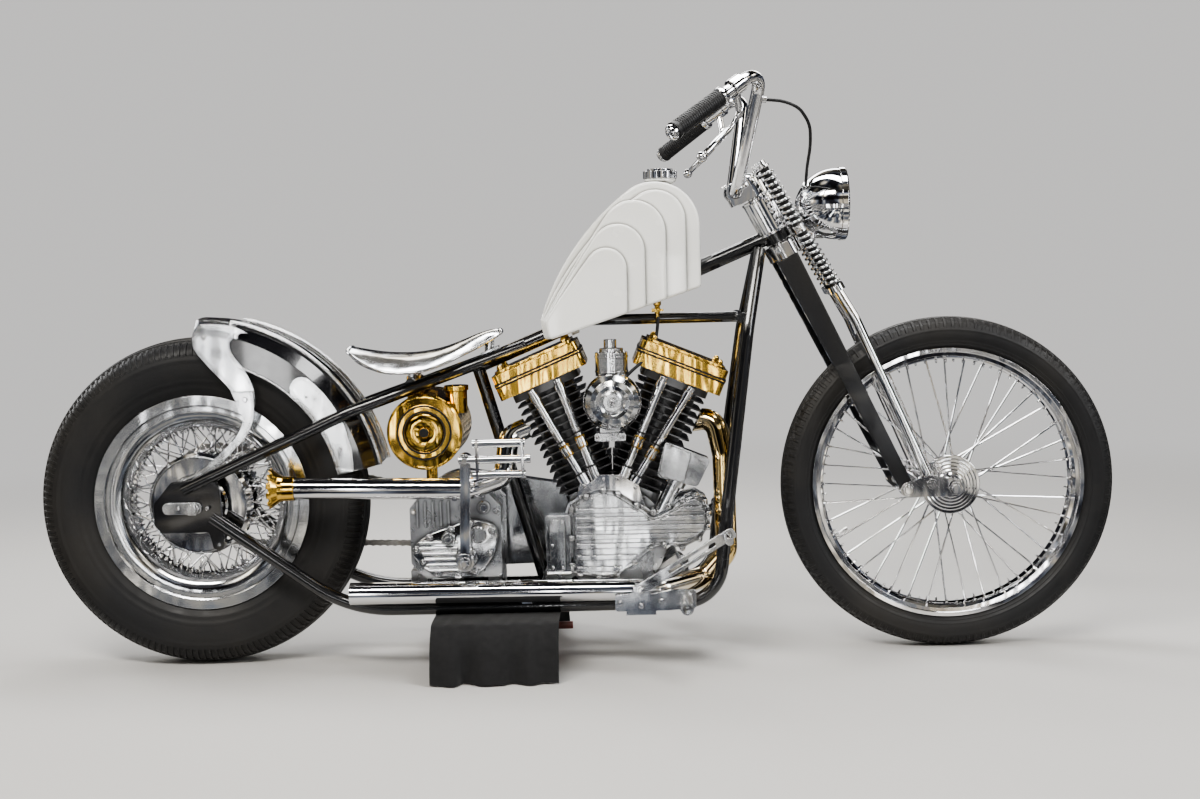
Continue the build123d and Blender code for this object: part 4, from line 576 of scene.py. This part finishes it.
def chain_spots():
    """Joint centres along the chain's pitch line, round both sprockets."""
    gap = drive - rear_axle
    run, slope = hypot(gap.x, gap.z), atan2(gap.z, gap.x)
    straight = sqrt(run ** 2 - (rear_pitch_r - drive_pitch_r) ** 2)
    spread = atan2(straight, rear_pitch_r - drive_pitch_r)
    rear_arc, drive_arc = (2 * pi - 2 * spread) * rear_pitch_r, 2 * spread * drive_pitch_r
    total = 2 * straight + rear_arc + drive_arc
    spots = []
    for k in range(joint_count):
        s = total * k / joint_count
        up, down = slope + spread, slope - spread
        if s < straight:
            spot = wheel_point(rear_axle, rear_pitch_r, up).lerp(wheel_point(drive, drive_pitch_r, up),
                                                                 s / straight)
        elif s < straight + drive_arc:
            spot = wheel_point(drive, drive_pitch_r, up - (s - straight) / drive_pitch_r)
        elif s < 2 * straight + drive_arc:
            share = (s - straight - drive_arc) / straight
            spot = wheel_point(drive, drive_pitch_r, down).lerp(
                wheel_point(rear_axle, rear_pitch_r, down), share)
        else:
            spot = wheel_point(rear_axle, rear_pitch_r,
                               down - (s - 2 * straight - drive_arc) / rear_pitch_r)
        spots.append(spot)
    return spots


def chain():
    """Roller chain: waisted side plates, inner and outer in turn, with rollers and pins."""
    bm = bmesh.new()
    spots = chain_spots()
    plate_h, plate_t, outer_y, inner_y = 0.0062, 0.0016, 0.0058, 0.0040
    roller_r, roller_y, pin_r, pin_y = 0.0048, 0.0038, 0.0022, 0.0082
    for k, here in enumerate(spots):
        on = spots[(k + 1) % joint_count]
        along = (on - here).normalized()
        up = Vector((-along.z, 0, along.x))
        outline = []
        for end, facing in ((here, pi), (on, 0)):
            for step in (-1.35, -0.8, 0, 0.8, 1.35):
                a = facing + step
                outline.append(end + plate_h * (cos(a) * along + sin(a) * up))
        middle = (here + on) / 2
        outline.insert(5, middle - 0.7 * plate_h * up)
        outline.append(middle + 0.7 * plate_h * up)
        for side in (-1, 1):
            y = chain_y + side * (inner_y if k % 2 else outer_y)
            slab(bm, [(p.x, p.z) for p in outline], min(y, y + side * plate_t), max(y, y + side * plate_t))
        centre = here + Vector((0, chain_y, 0))
        lathe(bm, [(-roller_y, roller_r), (roller_y, roller_r)], centre, across, 10)
        lathe(bm, [(-pin_y, pin_r), (pin_y, pin_r)], centre, across, 8)
    made = piece_from(bm, "roller_chain", "chain_steel", "chassis", 40)
    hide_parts("rear_chain")


chain()


# Fork: coil springs, chromed head sleeve, clamp bolts and grips
spring_y, spring_lean = 0.050, 0.052
spring_stretches = ((-0.0418, 0.0923), (-0.1853, -0.0587))


def spring_point(up, side):
    """Point on a spring rod's axis."""
    return fork_point(0.0374 + (0.093 - up) * spring_lean, up, side * spring_y)


def springs():
    """Four wound coils round the fork's rods, with a near-black sleeve inside each as painted shade between
    the coils.
    """
    bm = bmesh.new()
    wire, coil_r, coil_pitch, steps, rod_r = 0.0032, 0.0131, 0.0122, 18, 0.0063
    for low, high in spring_stretches:
        for side in (-1, 1):
            foot, head_end = spring_point(low, side), spring_point(high, side)
            axis = (head_end - foot).normalized()
            across_axis = axis.orthogonal().normalized()
            other = axis.cross(across_axis)
            length = (head_end - foot).length - 2 * wire
            turns = round(length / coil_pitch)
            points = []
            for k in range(turns * steps + 1):
                a = 2 * pi * k / steps
                rise = wire + length * k / (turns * steps)
                points.append(foot + rise * axis + coil_r * (cos(a) * across_axis + side * sin(a) * other))
            tube(bm, points, wire, 8)
    made = piece_from(bm, "wound_springs", "chrome", "fork", 60, satin)
    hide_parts("fork_springs")
    # Painted shade: matte near-black sleeves fill the springs, so the gaps between the coils show dark
    bm = bmesh.new()
    shade_sleeve_r = coil_r - wire - 0.0003
    for low, high in spring_stretches:
        for side in (-1, 1):
            foot, head_end = spring_point(low, side), spring_point(high, side)
            length = (head_end - foot).length
            band(bm, foot, head_end - foot, 0.001, length - 0.001, rod_r, shade_sleeve_r, 20)
    piece_from(bm, "spring_shade_sleeves", "cylinder_black", "fork", look=seam_and_shade_black)


def head_sleeve():
    """Fluted chrome sleeve over the upper head tube, with a ring at each end."""
    bm = bmesh.new()
    low, high, inner, outer, ring_r = -0.030, 0.040, 0.0282, 0.0312, 0.0335
    flutes, flute_share = 16, 0.018
    profile = [(low, inner), (low, outer), (high, outer), (high, inner)]
    lathe(bm, profile, head, steer_axis, 96, True,
          lambda turn: 1 + flute_share * cos(2 * pi * turn * flutes))
    for s in (low - 0.004, high):
        band(bm, head, steer_axis, s, s + 0.005, inner, ring_r)
    piece_from(bm, "head_sleeve", "chrome", "chassis", 50)


def fork_details():
    """Riser screws, rod nuts, side bolts and the cap of the steering stem."""
    bm = bmesh.new()
    riser_s, rod_s, stem_s = 0.0965, 0.098, 0.088
    for y in (-0.030, 0.030):
        for offset in (-0.047, -0.021):
            dome(bm, fork_point(offset, riser_s, y), steer_axis, 0.0045)
    for side in (-1, 1):
        bolt(bm, spring_point(rod_s, side), steer_axis, 0.009, False)
        bolt(bm, fork_point(-0.0175, -0.0675, side * 0.0753), (0, side, 0), 0.0055)
        bolt(bm, fork_point(0.043, -0.050, side * 0.0662), (0, side, 0), 0.0045)
    lathe(bm, [(0.0, 0.019), (0.004, 0.019), (0.008, 0.015), (0.011, 0.009), (0.012, 0.004)],
          fork_point(0, stem_s), steer_axis, 32)
    piece_from(bm, "fork_bolts", "chrome", "fork")


bar = fork_point(-0.034, 0.0775)
grip_inner = bar + Vector((-0.045, 0.300, 0.167))
bar_end = bar + Vector((-0.134, 0.360, 0.103))


def grips():
    """Grips with rings and raised bands, chrome collars inside and domed caps outside."""
    rubber, chrome = bmesh.new(), bmesh.new()
    rib, rib_r, valley_r, tube_r = 0.0052, 0.0172, 0.0163, 0.0132
    for side in (-1, 1):
        inner = Vector((grip_inner.x, side * grip_inner.y, grip_inner.z))
        outer = Vector((bar_end.x, side * bar_end.y, bar_end.z))
        run = outer - inner
        length = run.length
        profile = [(0.001, tube_r), (0.001, 0.0175)]
        for k in range(int((length - 0.012) / rib)):
            s = 0.004 + k * rib
            profile += [(s, valley_r), (s + 0.0008, rib_r), (s + 0.0036, rib_r), (s + 0.0044, valley_r)]
        profile += [(length - 0.006, 0.0178), (length - 0.001, 0.0178), (length - 0.001, tube_r)]
        lathe(rubber, profile, inner, run, 28, True)
        ring = [(-0.012, 0.0129), (-0.012, 0.0170), (-0.009, 0.0185), (-0.002, 0.0185), (0.0, 0.0170),
                (0.0, 0.0129)]
        lathe(chrome, ring, inner, run, 28, True)
        cap = [(0.004, 0.0150), (0.0075, 0.0140), (0.0108, 0.011), (0.0116, 0.005)]
        lathe(chrome, cap, outer, run, 28)
    made = piece_from(rubber, "ribbed_grips", "grip_rubber", "fork", 40)
    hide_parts("grips")
    piece_from(chrome, "grip_collars", "chrome", "fork")


def lever_ends():
    """Swelling blades over the hand levers, with their ball ends."""
    bm = bmesh.new()
    ball_r = 0.0104
    for side in (-1, 1):
        pivot = bar + Vector((-0.005, side * 0.264, 0.143))
        bend = bar + Vector((-0.021, side * 0.268, 0.115))
        tip = bar + Vector((-0.081, side * 0.330, 0.057))
        run = tip - bend
        blade = [(0.004, 0.0048), (0.012, 0.0062), (0.045, 0.0070), (run.length - 0.012, 0.0060),
                 (run.length - 0.010, 0.0048)]
        lathe(bm, blade, bend, run, 18)
        ball = [(-ball_r * cos(a), ball_r * sin(a)) for a in (pi * k / 14 for k in range(1, 14))]
        lathe(bm, ball, tip, run, 24)
        lathe(bm, [(-0.011, 0.0062), (-0.009, 0.0075), (0.009, 0.0075), (0.011, 0.0062)], pivot,
              (0.3, 0, 1), 18)
    piece_from(bm, "lever_ends", "chrome", "fork")


springs()
lever_ends()
head_sleeve()
fork_details()
grips()


# Engine details, with the faces that carry screws
cam_face, box_face, tappet_face, gearbox_face, primary_face = -0.084, -0.114, -0.110, -0.100, 0.140
boss_h, case_bolt_r = 0.035, 0.0042
cam_bolts = (
    (-0.007, 0.205), (-0.007, 0.262), (-0.007, 0.320), (0.024, 0.346), (0.059, 0.3585), (0.089, 0.350),
    (0.126, 0.3265), (0.160, 0.3115), (0.190, 0.3235), (0.219, 0.3365), (0.246, 0.344), (0.264, 0.330),
    (0.2715, 0.305), (0.270, 0.279), (0.252, 0.2545), (0.217, 0.237), (0.181, 0.245), (0.153, 0.2385),
    (0.119, 0.210), (0.083, 0.1845), (0.045, 0.180), (0.008, 0.187),
)
box_screws = ((-0.047, 0.202), (-0.027, 0.202), (-0.047, 0.294), (-0.027, 0.294), (-0.047, 0.248))
tappet_screws = ((0.012, 0.345), (0.022, 0.366), (0.060, 0.381), (0.088, 0.381), (0.124, 0.362),
                 (0.138, 0.322))
gearbox_bolts = ((-0.330, 0.322), (-0.292, 0.352), (-0.240, 0.352), (-0.190, 0.352), (-0.162, 0.320))
magneto_screws = ((0.195, -0.125, 0.445), (0.258, -0.120, 0.417), (0.242, -0.125, 0.372),
                  (0.178, -0.120, 0.392))


def rocker_seams():
    """Black band with a brass line in the seam of each rocker cover, and acorn nuts."""
    black, gold = bmesh.new(), bmesh.new()
    corner, corner_steps, nut_share = 0.011, 5, 0.75
    for side in (-1, 1):
        centre = bank_point(side, 0, 0)
        axis = (bank_point(side, 0, 1) - centre).normalized()
        level_axis = (bank_point(side, 1, 0) - centre).normalized()
        for bm, inset, half_t in ((black, -0.0004, 0.0046), (gold, -0.0012, 0.0013)):
            hx, hy = cover_half_x - inset, cover_half_y - inset
            rim = []
            for cx, cy, first in ((1, 1, 0), (-1, 1, 1), (-1, -1, 2), (1, -1, 3)):
                for k in range(corner_steps + 1):
                    a = (first + k / corner_steps) * pi / 2
                    rim.append((cx * (hx - corner) + corner * cos(a), cy * (hy - corner) + corner * sin(a)))
            rings = []
            for grow, h in ((0.94, -half_t), (1, -half_t), (1, half_t), (0.94, half_t)):
                base = centre + (cover_split_h + h) * axis
                rings.append([bm.verts.new(base + grow * x * level_axis + grow * y * across) for x, y in rim])
            skin(bm, rings, True)
        for x in (-nut_share, nut_share):
            for y in (-nut_share, nut_share):
                nut = bank_point(side, x * cover_half_x, cover_top_h + 0.005, y * cover_half_y)
                lathe(gold, [(-0.001, 0.006), (0.002, 0.006), (0.005, 0.004), (0.006, 0.0015)], nut, axis, 16)
    piece_from(black, "rocker_seams", "cylinder_black", "chassis", look=seam_and_shade_black)
    piece_from(gold, "rocker_lines", "brass", "chassis")


def engine_bolts():
    """Screws of the engine, magneto, gearbox and primary cover, and the cam cover's bosses."""
    bm = bmesh.new()
    for x, z in cam_bolts:
        dome(bm, (x, cam_face - boss_h, z), rightward, 0.0042)
    for x, z in box_screws:
        dome(bm, (x, box_face, z), rightward, 0.0032)
    for x, z in tappet_screws:
        dome(bm, (x, tappet_face, z), rightward, 0.0034)
    for x, z in gearbox_bolts:
        bolt(bm, (x, gearbox_face, z), rightward, case_bolt_r)
    for spot in magneto_screws:
        dome(bm, spot, rightward, 0.0032)
    for x in (0.050, 0.102):
        dome(bm, (x, -0.114, 0.467), rightward, 0.0034)
    clutch, ring_r, clutch_ring_r = Vector((-0.240, 0, 0.275)), 0.0695, 0.0995
    for k in range(7):
        a = radians(-78 + 156 * k / 6)
        bolt(bm, wheel_point(crank, ring_r, a, primary_face), across, case_bolt_r)
        bolt(bm, wheel_point(clutch, clutch_ring_r, pi - a, primary_face), across, case_bolt_r)
    for share in (0.3, 0.65):
        for ahead_z, behind_z in ((-0.071, -0.099), (0.071, 0.099)):
            rise = ahead_z + (behind_z - ahead_z) * share
            bolt(bm, crank.lerp(clutch, share) + Vector((0, primary_face, rise)), across, case_bolt_r)
    piece_from(bm, "engine_bolts", "chrome", "chassis")
    bm = bmesh.new()
    for x, z in cam_bolts:
        profile = [(-0.001, 0.0072), (0.030, 0.0066), (0.034, 0.0062), (boss_h, 0.0052)]
        lathe(bm, profile, (x, cam_face, z), rightward, 20)
    piece_from(bm, "cam_bosses", "polished", "chassis")


pushrod_y = -0.097
pushrod_feet = ((0.024, 0.370, -1, -0.030), (0.043, 0.384, -1, 0.028), (0.100, 0.382, 1, -0.026),
                (0.117, 0.364, 1, 0.034))


def pushrod_nuts():
    """Brass adjuster nuts and black seals on the four pushrod tubes."""
    gold, black = bmesh.new(), bmesh.new()
    for x, z, side, beside in pushrod_feet:
        foot, end = Vector((x, pushrod_y, z)), bank_point(side, beside, cover_low_h - 0.003, pushrod_y)
        run = (end - foot).normalized()
        nut = [(0.067, 0.0095), (0.067, 0.0122), (0.078, 0.0122), (0.079, 0.0105), (0.083, 0.0105),
               (0.084, 0.0122), (0.092, 0.0122), (0.092, 0.0095)]
        lathe(gold, nut, foot, run, 6, True)
        for s, r in ((0.0235, 0.0128), (0.0985, 0.0104)):
            band(black, foot, run, s, s + 0.003, 0.008, r, 20)
    piece_from(gold, "pushrod_nuts", "brass", "chassis", 30)
    piece_from(black, "pushrod_seals", "grip_rubber", "chassis")


def gearbox_ribs():
    """Cast ribs and bosses on the gearbox's right side, and its filler cap."""
    bm = bmesh.new()
    for x in (-0.322, -0.306, -0.290, -0.274, -0.258):
        slab(bm, [(x - 0.002, 0.292), (x - 0.002, 0.340), (x + 0.002, 0.345), (x + 0.002, 0.288)],
             -0.1045, -0.099)
    for x, z, r in ((-0.186, 0.328, 0.013), (-0.226, 0.328, 0.010)):
        lathe(bm, [(-0.002, r), (0.005, r), (0.007, r - 0.002)], (x, gearbox_face, z), rightward, 28)
    piece_from(bm, "gearbox_ribs", "case_metal", "chassis")
    bm = bmesh.new()
    for x, z, r in ((-0.186, 0.328, 0.008), (-0.226, 0.328, 0.006)):
        bolt(bm, (x, -0.107, z), rightward, r, False)
    lathe(bm, [(0, 0.015), (0.007, 0.015), (0.009, 0.012)], (-0.290, -0.060, 0.360), (0, 0, 1), 24)
    bolt(bm, (-0.290, -0.060, 0.368), (0, 0, 1), 0.008, False)
    piece_from(bm, "gearbox_plugs", "chrome", "chassis")


def gearbox_cover():
    """Ribbed kick-side cover of the gearbox, with its bosses and screws."""
    outline = ((-0.333, 0.247), (-0.319, 0.216), (-0.286, 0.192), (-0.240, 0.187), (-0.201, 0.193),
               (-0.166, 0.235), (-0.160, 0.286), (-0.206, 0.305), (-0.254, 0.292), (-0.303, 0.274))
    back, face, screw_inset = -0.0995, -0.1195, 0.90
    rib_low, rib_gap, rib_end = 0.203, 0.0115, -0.240
    bm = bmesh.new()
    line = flow([(x, 0, z) for x, z in outline], 8, True)
    middle = sum(line, Vector()) / len(line)
    rings = []
    for y, grow in ((back, 1.0), (face + 0.004, 1.0), (face + 0.001, 0.985), (face, 0.955)):
        rings.append([bm.verts.new(middle + grow * (p - middle) + Vector((0, y, 0))) for p in line])
    skin(bm, rings)
    bm.faces.new(rings[0])
    bm.faces.new(rings[-1])
    for k in range(6):
        z = rib_low + rib_gap * k
        start = -0.300 - 0.004 * k if k < 4 else -0.318
        tube(bm, [(start, face, z), (rib_end, face, z)], 0.0034, 10)
    for x, z, r in ((-0.222, 0.228, 0.022), (-0.258, 0.268, 0.014), (-0.198, 0.276, 0.017)):
        lathe(bm, [(0, r), (0.006, r), (0.008, r - 0.002)], (x, face, z), rightward, 28)
    screws = [middle + screw_inset * (p - middle) for p in line[::8]]
    for spot in screws:
        lathe(bm, [(-0.001, 0.0075), (0.003, 0.007)], (spot.x, face, spot.z), rightward, 18)
    piece_from(bm, "gearbox_cover", "polished", "chassis", 40)
    bm = bmesh.new()
    for spot in screws:
        dome(bm, (spot.x, face - 0.003, spot.z), rightward, 0.004)
    bolt(bm, (-0.258, face - 0.008, 0.268), rightward, 0.008, False)
    piece_from(bm, "gearbox_screws", "chrome", "chassis")


def intake_details():
    """Ribs and screws of the chrome can, and the air cleaner's rim and centre screw."""
    bm = bmesh.new()
    cleaner, can, screw_ring_r = Vector((0.082, 0, 0.540)), Vector((0.082, -0.095, 0)), 0.0285
    lathe(bm, [(-0.1165, 0.0555), (-0.1165, 0.0585), (-0.1215, 0.0590), (-0.1215, 0.0555)], cleaner, across,
          72, True)
    dome(bm, cleaner + Vector((0, -0.150, 0)), rightward, 0.0055)
    for z in (0.598, 0.628):
        band(bm, can, (0, 0, 1), z, z + 0.003, 0.0325, 0.0342)
    for k in range(8):
        a = 2 * pi * (k + 0.5) / 8
        spot = can + Vector((screw_ring_r * cos(a), screw_ring_r * sin(a), 0.638))
        dome(bm, spot, (0, 0, 1), 0.0024, 10)
    piece_from(bm, "intake_trim", "chrome", "chassis")


rocker_seams()
engine_bolts()
pushrod_nuts()
gearbox_ribs()
gearbox_cover()
intake_details()


# Fuel tap under the tank, with its line to the carburettor
def fuel_line():
    """Brass tap with a lever, and a thin line held at both ends."""
    tap_top = Vector((0.178, -0.062, 0.738))
    gold = bmesh.new()
    lathe(gold, [(0, 0.008), (0.008, 0.008), (0.010, 0.0055), (0.024, 0.0055), (0.026, 0.0035),
                 (0.036, 0.0035)], tap_top, (0, 0, -1), 14)
    lathe(gold, [(0, 0.0045), (0.014, 0.004)], tap_top + Vector((0, -0.002, -0.017)), (0.2, -1, 0), 10)
    slab(gold, [(0.166, 0.716), (0.166, 0.724), (0.190, 0.722), (0.190, 0.718)], -0.078, -0.075)
    piece_from(gold, "fuel_tap", "brass", "chassis")
    hose = bmesh.new()
    route = [tap_top + Vector((0, 0, -0.030)), (0.178, -0.064, 0.690), (0.171, -0.070, 0.655),
             (0.150, -0.082, 0.622), (0.124, -0.094, 0.600), (0.108, -0.100, 0.585), (0.096, -0.098, 0.572)]
    tube(hose, flow(route, 6), 0.0034, 10)
    piece_from(hose, "fuel_hose", "grip_rubber", "chassis", 60)


fuel_line()


# Seat edge and fender fasteners
seat_edge = ((-0.456, 0.062, 0.649), (-0.385, 0.118, 0.615), (-0.300, 0.122, 0.614), (-0.215, 0.074, 0.645),
             (-0.152, 0.034, 0.678))


def seat_bead():
    """Rolled bead round the sheet seat's edge."""
    bm = bmesh.new()
    drop, bead_r = 0.0025, 0.0034
    left_side = [Vector((x, y, z - drop)) for x, y, z in seat_edge]
    right_side = [Vector((x, -y, z - drop)) for x, y, z in seat_edge]
    tail, nose = Vector((-0.458, 0, 0.6565)), Vector((-0.150, 0, 0.6855))
    tube(bm, flow(left_side + [nose] + right_side[::-1] + [tail], 10, True), bead_r, 10, True)
    piece_from(bm, "seat_bead", "chrome", "chassis", 60)


def canister_rings():
    """Black rings, a domed gold ring and a dark hub in each face of the oil canister."""
    black, gold = bmesh.new(), bmesh.new()
    low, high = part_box("oil_tank")
    reach = (high.y - low.y) / 2
    can = Vector((-0.301, 0, 0.485))
    for side in (-1, 1):
        for inner in (0.0408, 0.0528):
            band(black, can, (0, side, 0), reach - 0.0050, reach - 0.0002, inner, inner + 0.0030, 64)
        lathe(black, [(reach - 0.001, 0.0098), (reach + 0.0015, 0.0092), (reach + 0.0018, 0.004)], can,
              (0, side, 0), 28)
        swell = [(reach - 0.0052, 0.0400), (reach - 0.0025, 0.0345), (reach - 0.0008, 0.0265),
                 (reach - 0.0012, 0.0185), (reach - 0.0035, 0.0114), (reach - 0.0052, 0.0114)]
        lathe(gold, swell, can, (0, side, 0), 64, True)
    piece_from(black, "canister_rings", "cylinder_black", "chassis", look=seam_and_shade_black)
    piece_from(gold, "canister_dish", "brass", "chassis", 60)


def fender_bolts():
    """Bolts of the fender's struts and brackets, both sides."""
    bm = bmesh.new()
    strut_y, trim_y, flank_y, flank_r, plate_y, plate_z = 0.0972, 0.0883, 0.0863, 0.320, 0.124, 0.343
    for side in (-1, 1):
        for dx, dz, y, r in ((-0.027, 0.045, strut_y, 0.0055), (0.111, 0.217, strut_y, 0.0055),
                             (0.030, 0.345, trim_y, 0.004), (0.095, 0.345, trim_y, 0.004)):
            bolt(bm, rear_axle + Vector((dx, side * y, dz)), (0, side, 0), r)
        for angle in (20, 33, 43):
            dome(bm, wheel_point(rear_axle, flank_r, radians(angle), side * flank_y), (0, side, 0), 0.0035)
    for x in (-0.806, -0.746):
        for side in (-1, 1):
            dome(bm, (x, side * plate_y, plate_z), (0, side, 0), 0.0045)
    piece_from(bm, "fender_bolts", "chrome", "chassis")


seat_bead()
canister_rings()
fender_bolts()


# Forward controls and kick pedal fasteners
def control_bolts():
    """Bolts of the control plates and pivots on both sides, and the kick arm's clamp bolt."""
    bm = bmesh.new()
    bracket_y, pivot_y, peg_x, peg_y, peg_z = 0.186, 0.199, 0.219, 0.190, 0.146
    for side in (-1, 1):
        for x, z in ((0.088, 0.141), (0.130, 0.135), (0.170, 0.145), (0.228, 0.154)):
            bolt(bm, (x, side * bracket_y, z), (0, side, 0), 0.0045)
        bolt(bm, (0.130, side * pivot_y, 0.170), (0, side, 0), 0.006)
        for s in (0.030, 0.044, 0.058):
            band(bm, (peg_x, side * peg_y, peg_z), (0, side, 0), s, s + 0.006, 0.0128, 0.0150, 24)
    bolt(bm, (-0.219, -0.195, 0.231), rightward, 0.009)
    bolt(bm, (-0.212, -0.204, 0.438), rightward, 0.007)
    piece_from(bm, "control_bolts", "chrome", "chassis")


control_bolts()


# Cloth over the jack
def jack_cloth():
    """Black cloth laid over the jack's bed, hanging to the floor in uneven folds."""
    low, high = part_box("jack_cover")
    columns, margin, fold_depth, least_z = 64, 0.004, 0.0085, 0.001
    half = [(0.276, 0.002), (0.268, 0.035), (0.256, 0.070), (0.232, 0.101), (0.196, high.z - 0.0005),
            (0.070, high.z - 0.001)]
    line = flow([(0, -y, z) for y, z in half] + [(0, y, z) for y, z in half[::-1]], 14)
    bm = bmesh.new()
    grid = []
    for j, spot in enumerate(line):
        fall = max(0.0, 1 - spot.z / high.z)
        row = []
        for i in range(columns + 1):
            u = i / columns
            x = low.x + margin + (high.x - low.x - 2 * margin) * u
            wave = sin(u * 19 + spot.y * 4) + 0.5 * sin(u * 33 + 1.7)
            wave += 1.6 * noise.noise((u * 6, spot.y * 9, 2))
            out = fold_depth * fall ** 0.8 * (wave - 1.2)
            soft = 0.0016 * noise.noise((u * 16, j * 0.11, 5))
            side = 1 if spot.y > 0 else -1
            z = spot.z + (soft if fall < 0.2 else 0.0)
            edge = 0.006 * noise.noise((u * 5, side * 3, 7)) * fall
            z = max(z - edge * 0.3, least_z)
            row.append(bm.verts.new((x + 0.003 * wave * fall, spot.y + side * out, z)))
        grid.append(row)
    for j in range(len(grid) - 1):
        for i in range(columns):
            bm.faces.new((grid[j][i], grid[j][i + 1], grid[j + 1][i + 1], grid[j + 1][i]))
    cloth = piece_from(bm, "jack_cloth", "cloth_black", "chassis", 80)
    thick = cloth.modifiers.new("thickness", "SOLIDIFY")
    thick.thickness = 0.0012
    thick.offset = 1.0
    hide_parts("jack_cover")


jack_cloth()

# Floor that fades into the surroundings far away, and soft studio light
haze, haze_strength = (0.62, 0.61, 0.60, 1), 1.0
hall_patches = ((0.42, (0.02, 0.02, 0.025)), (0.49, (0.09, 0.10, 0.13)), (0.54, (0.30, 0.33, 0.38)),
                (0.59, (0.62, 0.55, 0.42)), (0.64, (1.8, 1.7, 1.5)), (0.72, (2.6, 2.5, 2.3)))
hall_bands = ((0.0, 0.7), (0.06, 0.8), (0.12, 1.1), (0.20, 1.1), (0.24, 0.12), (0.40, 0.06),
              (0.44, 2.2), (0.54, 2.2), (0.58, 0.06), (0.82, 0.10), (1.0, 0.8))


def patchwork(tree, place, scale, stretch):
    """Light and dark patches, as of a hall with lamps, for what the metal mirrors."""
    return ramp_of(tree, cloud(tree, stretched(tree, place, stretch), scale, 2), hall_patches)


def floor_material():
    """Pale floor whose far part glows as the surroundings do, so that no horizon shows."""
    made = material("floor_pale", (0.60, 0.59, 0.575), rough=0.45, spread=0.05, scale=3)
    tree = made.node_tree
    shader = tree.nodes["Principled BSDF"]
    shader.inputs["Specular IOR Level"].default_value = 0.0
    place = place_in(tree)
    ray = tree.nodes.new("ShaderNodeLightPath")
    room = add_node(tree, "Emission", {"Color": patchwork(tree, place, 1.5, (2.6, 1, 1)), "Strength": 0.8})
    beside = spanned(tree, length_of(tree, stretched(tree, place, (0.35, 1, 0))), 0.42, 0.55)
    mirrored = product(tree, beside, ray.outputs["Is Glossy Ray"])
    near = add_node(tree, "MixShader", {0: mirrored, 1: shader.outputs["BSDF"], 2: room.outputs["Emission"]})
    far = add_node(tree, "MapRange", {"Value": length_of(tree, place), "From Min": 1.1, "From Max": 4.2})
    far.interpolation_type = "SMOOTHSTEP"
    direct = product(tree, far.outputs["Result"], ray.outputs["Is Camera Ray"])
    glow = add_node(tree, "Emission", {"Color": haze, "Strength": haze_strength})
    both = add_node(tree, "MixShader", {0: direct, 1: near.outputs["Shader"], 2: glow.outputs["Emission"]})
    tree.links.new(both.outputs["Shader"], tree.nodes["Material Output"].inputs["Surface"])
    return made


bpy.ops.mesh.primitive_circle_add(vertices=96, radius=40, fill_type="NGON", location=(0, 0, -0.0005))
floor = bpy.context.object
floor.name = "floor"
floor.data.materials.append(floor_material())

world = bpy.data.worlds.new("studio")
bpy.context.scene.world = world
world.use_nodes = True
sky = world.node_tree
toward = place_in(sky, "Generated")
height = add_node(sky, "SeparateXYZ", {"Vector": toward}).outputs["Z"]
bands = ramp_of(sky, height, [(up, (tone, tone * 0.98, tone * 0.95)) for up, tone in hall_bands])
hall = mixed(sky, 1, bands, patchwork(sky, toward, 2.2, (1, 1, 0.6)), "MULTIPLY")
direct_ray = sky.nodes.new("ShaderNodeLightPath").outputs["Is Camera Ray"]
feed(sky, sky.nodes["Background"], {"Color": mixed(sky, direct_ray, hall, haze),
                                    "Strength": haze_strength})


def softbox(name, place, target, size, watts, color=(1, 1, 1)):
    """Rectangular area light aimed at a point, shown in the metal alone."""
    lamp = bpy.data.lights.new(name, "AREA")
    lamp.shape = "RECTANGLE"
    lamp.size, lamp.size_y = size
    lamp.energy = watts
    lamp.color = color
    box = bpy.data.objects.new(name, lamp)
    box.location = place
    box.rotation_mode = "QUATERNION"
    box.rotation_quaternion = (Vector(target) - Vector(place)).to_track_quat("-Z", "Y")
    bpy.context.collection.objects.link(box)
    box.visible_camera = False


softbox("key", (-1.0, -2.4, 3.0), (0.0, 0.0, 0.5), (2.4, 0.6), 105, (1.0, 0.97, 0.92))
softbox("top", (0.3, 0.3, 3.0), (0.0, 0.0, 0.4), (3.2, 0.6), 70)
softbox("front", (2.8, -1.8, 1.9), (0.3, 0.0, 0.6), (0.6, 1.8), 38, (0.95, 0.97, 1.0))
softbox("rear", (-3.0, 1.4, 2.0), (-0.3, 0.0, 0.5), (1.0, 1.6), 34)
softbox("back", (0.6, 3.0, 2.4), (0.0, 0.0, 0.5), (2.6, 0.8), 38)

# Narrow panels that draw bright streaks on the flat polished faces
panels = ((-1.42, 0.20), (-1.03, 0.12), (-0.21, 0.09), (0.32, 0.09), (1.3, 0.1))
panel_y, panel_z, panel_height, panel_watts = -3.75, 0.42, 0.8, 22
for number, (x, width) in enumerate(panels):
    softbox(f"streak_{number}", (x, panel_y, panel_z), (x, 0, panel_z), (width, panel_height),
            panel_watts * width)
softbox("floor_streak", (0.095, -1.7, 0.01), (0.095, -1.7, 1.0), (0.06, 1.5), 1.3)

bpy.context.scene.view_settings.view_transform = "AgX"
bpy.context.scene.view_settings.look = "AgX - Medium High Contrast"
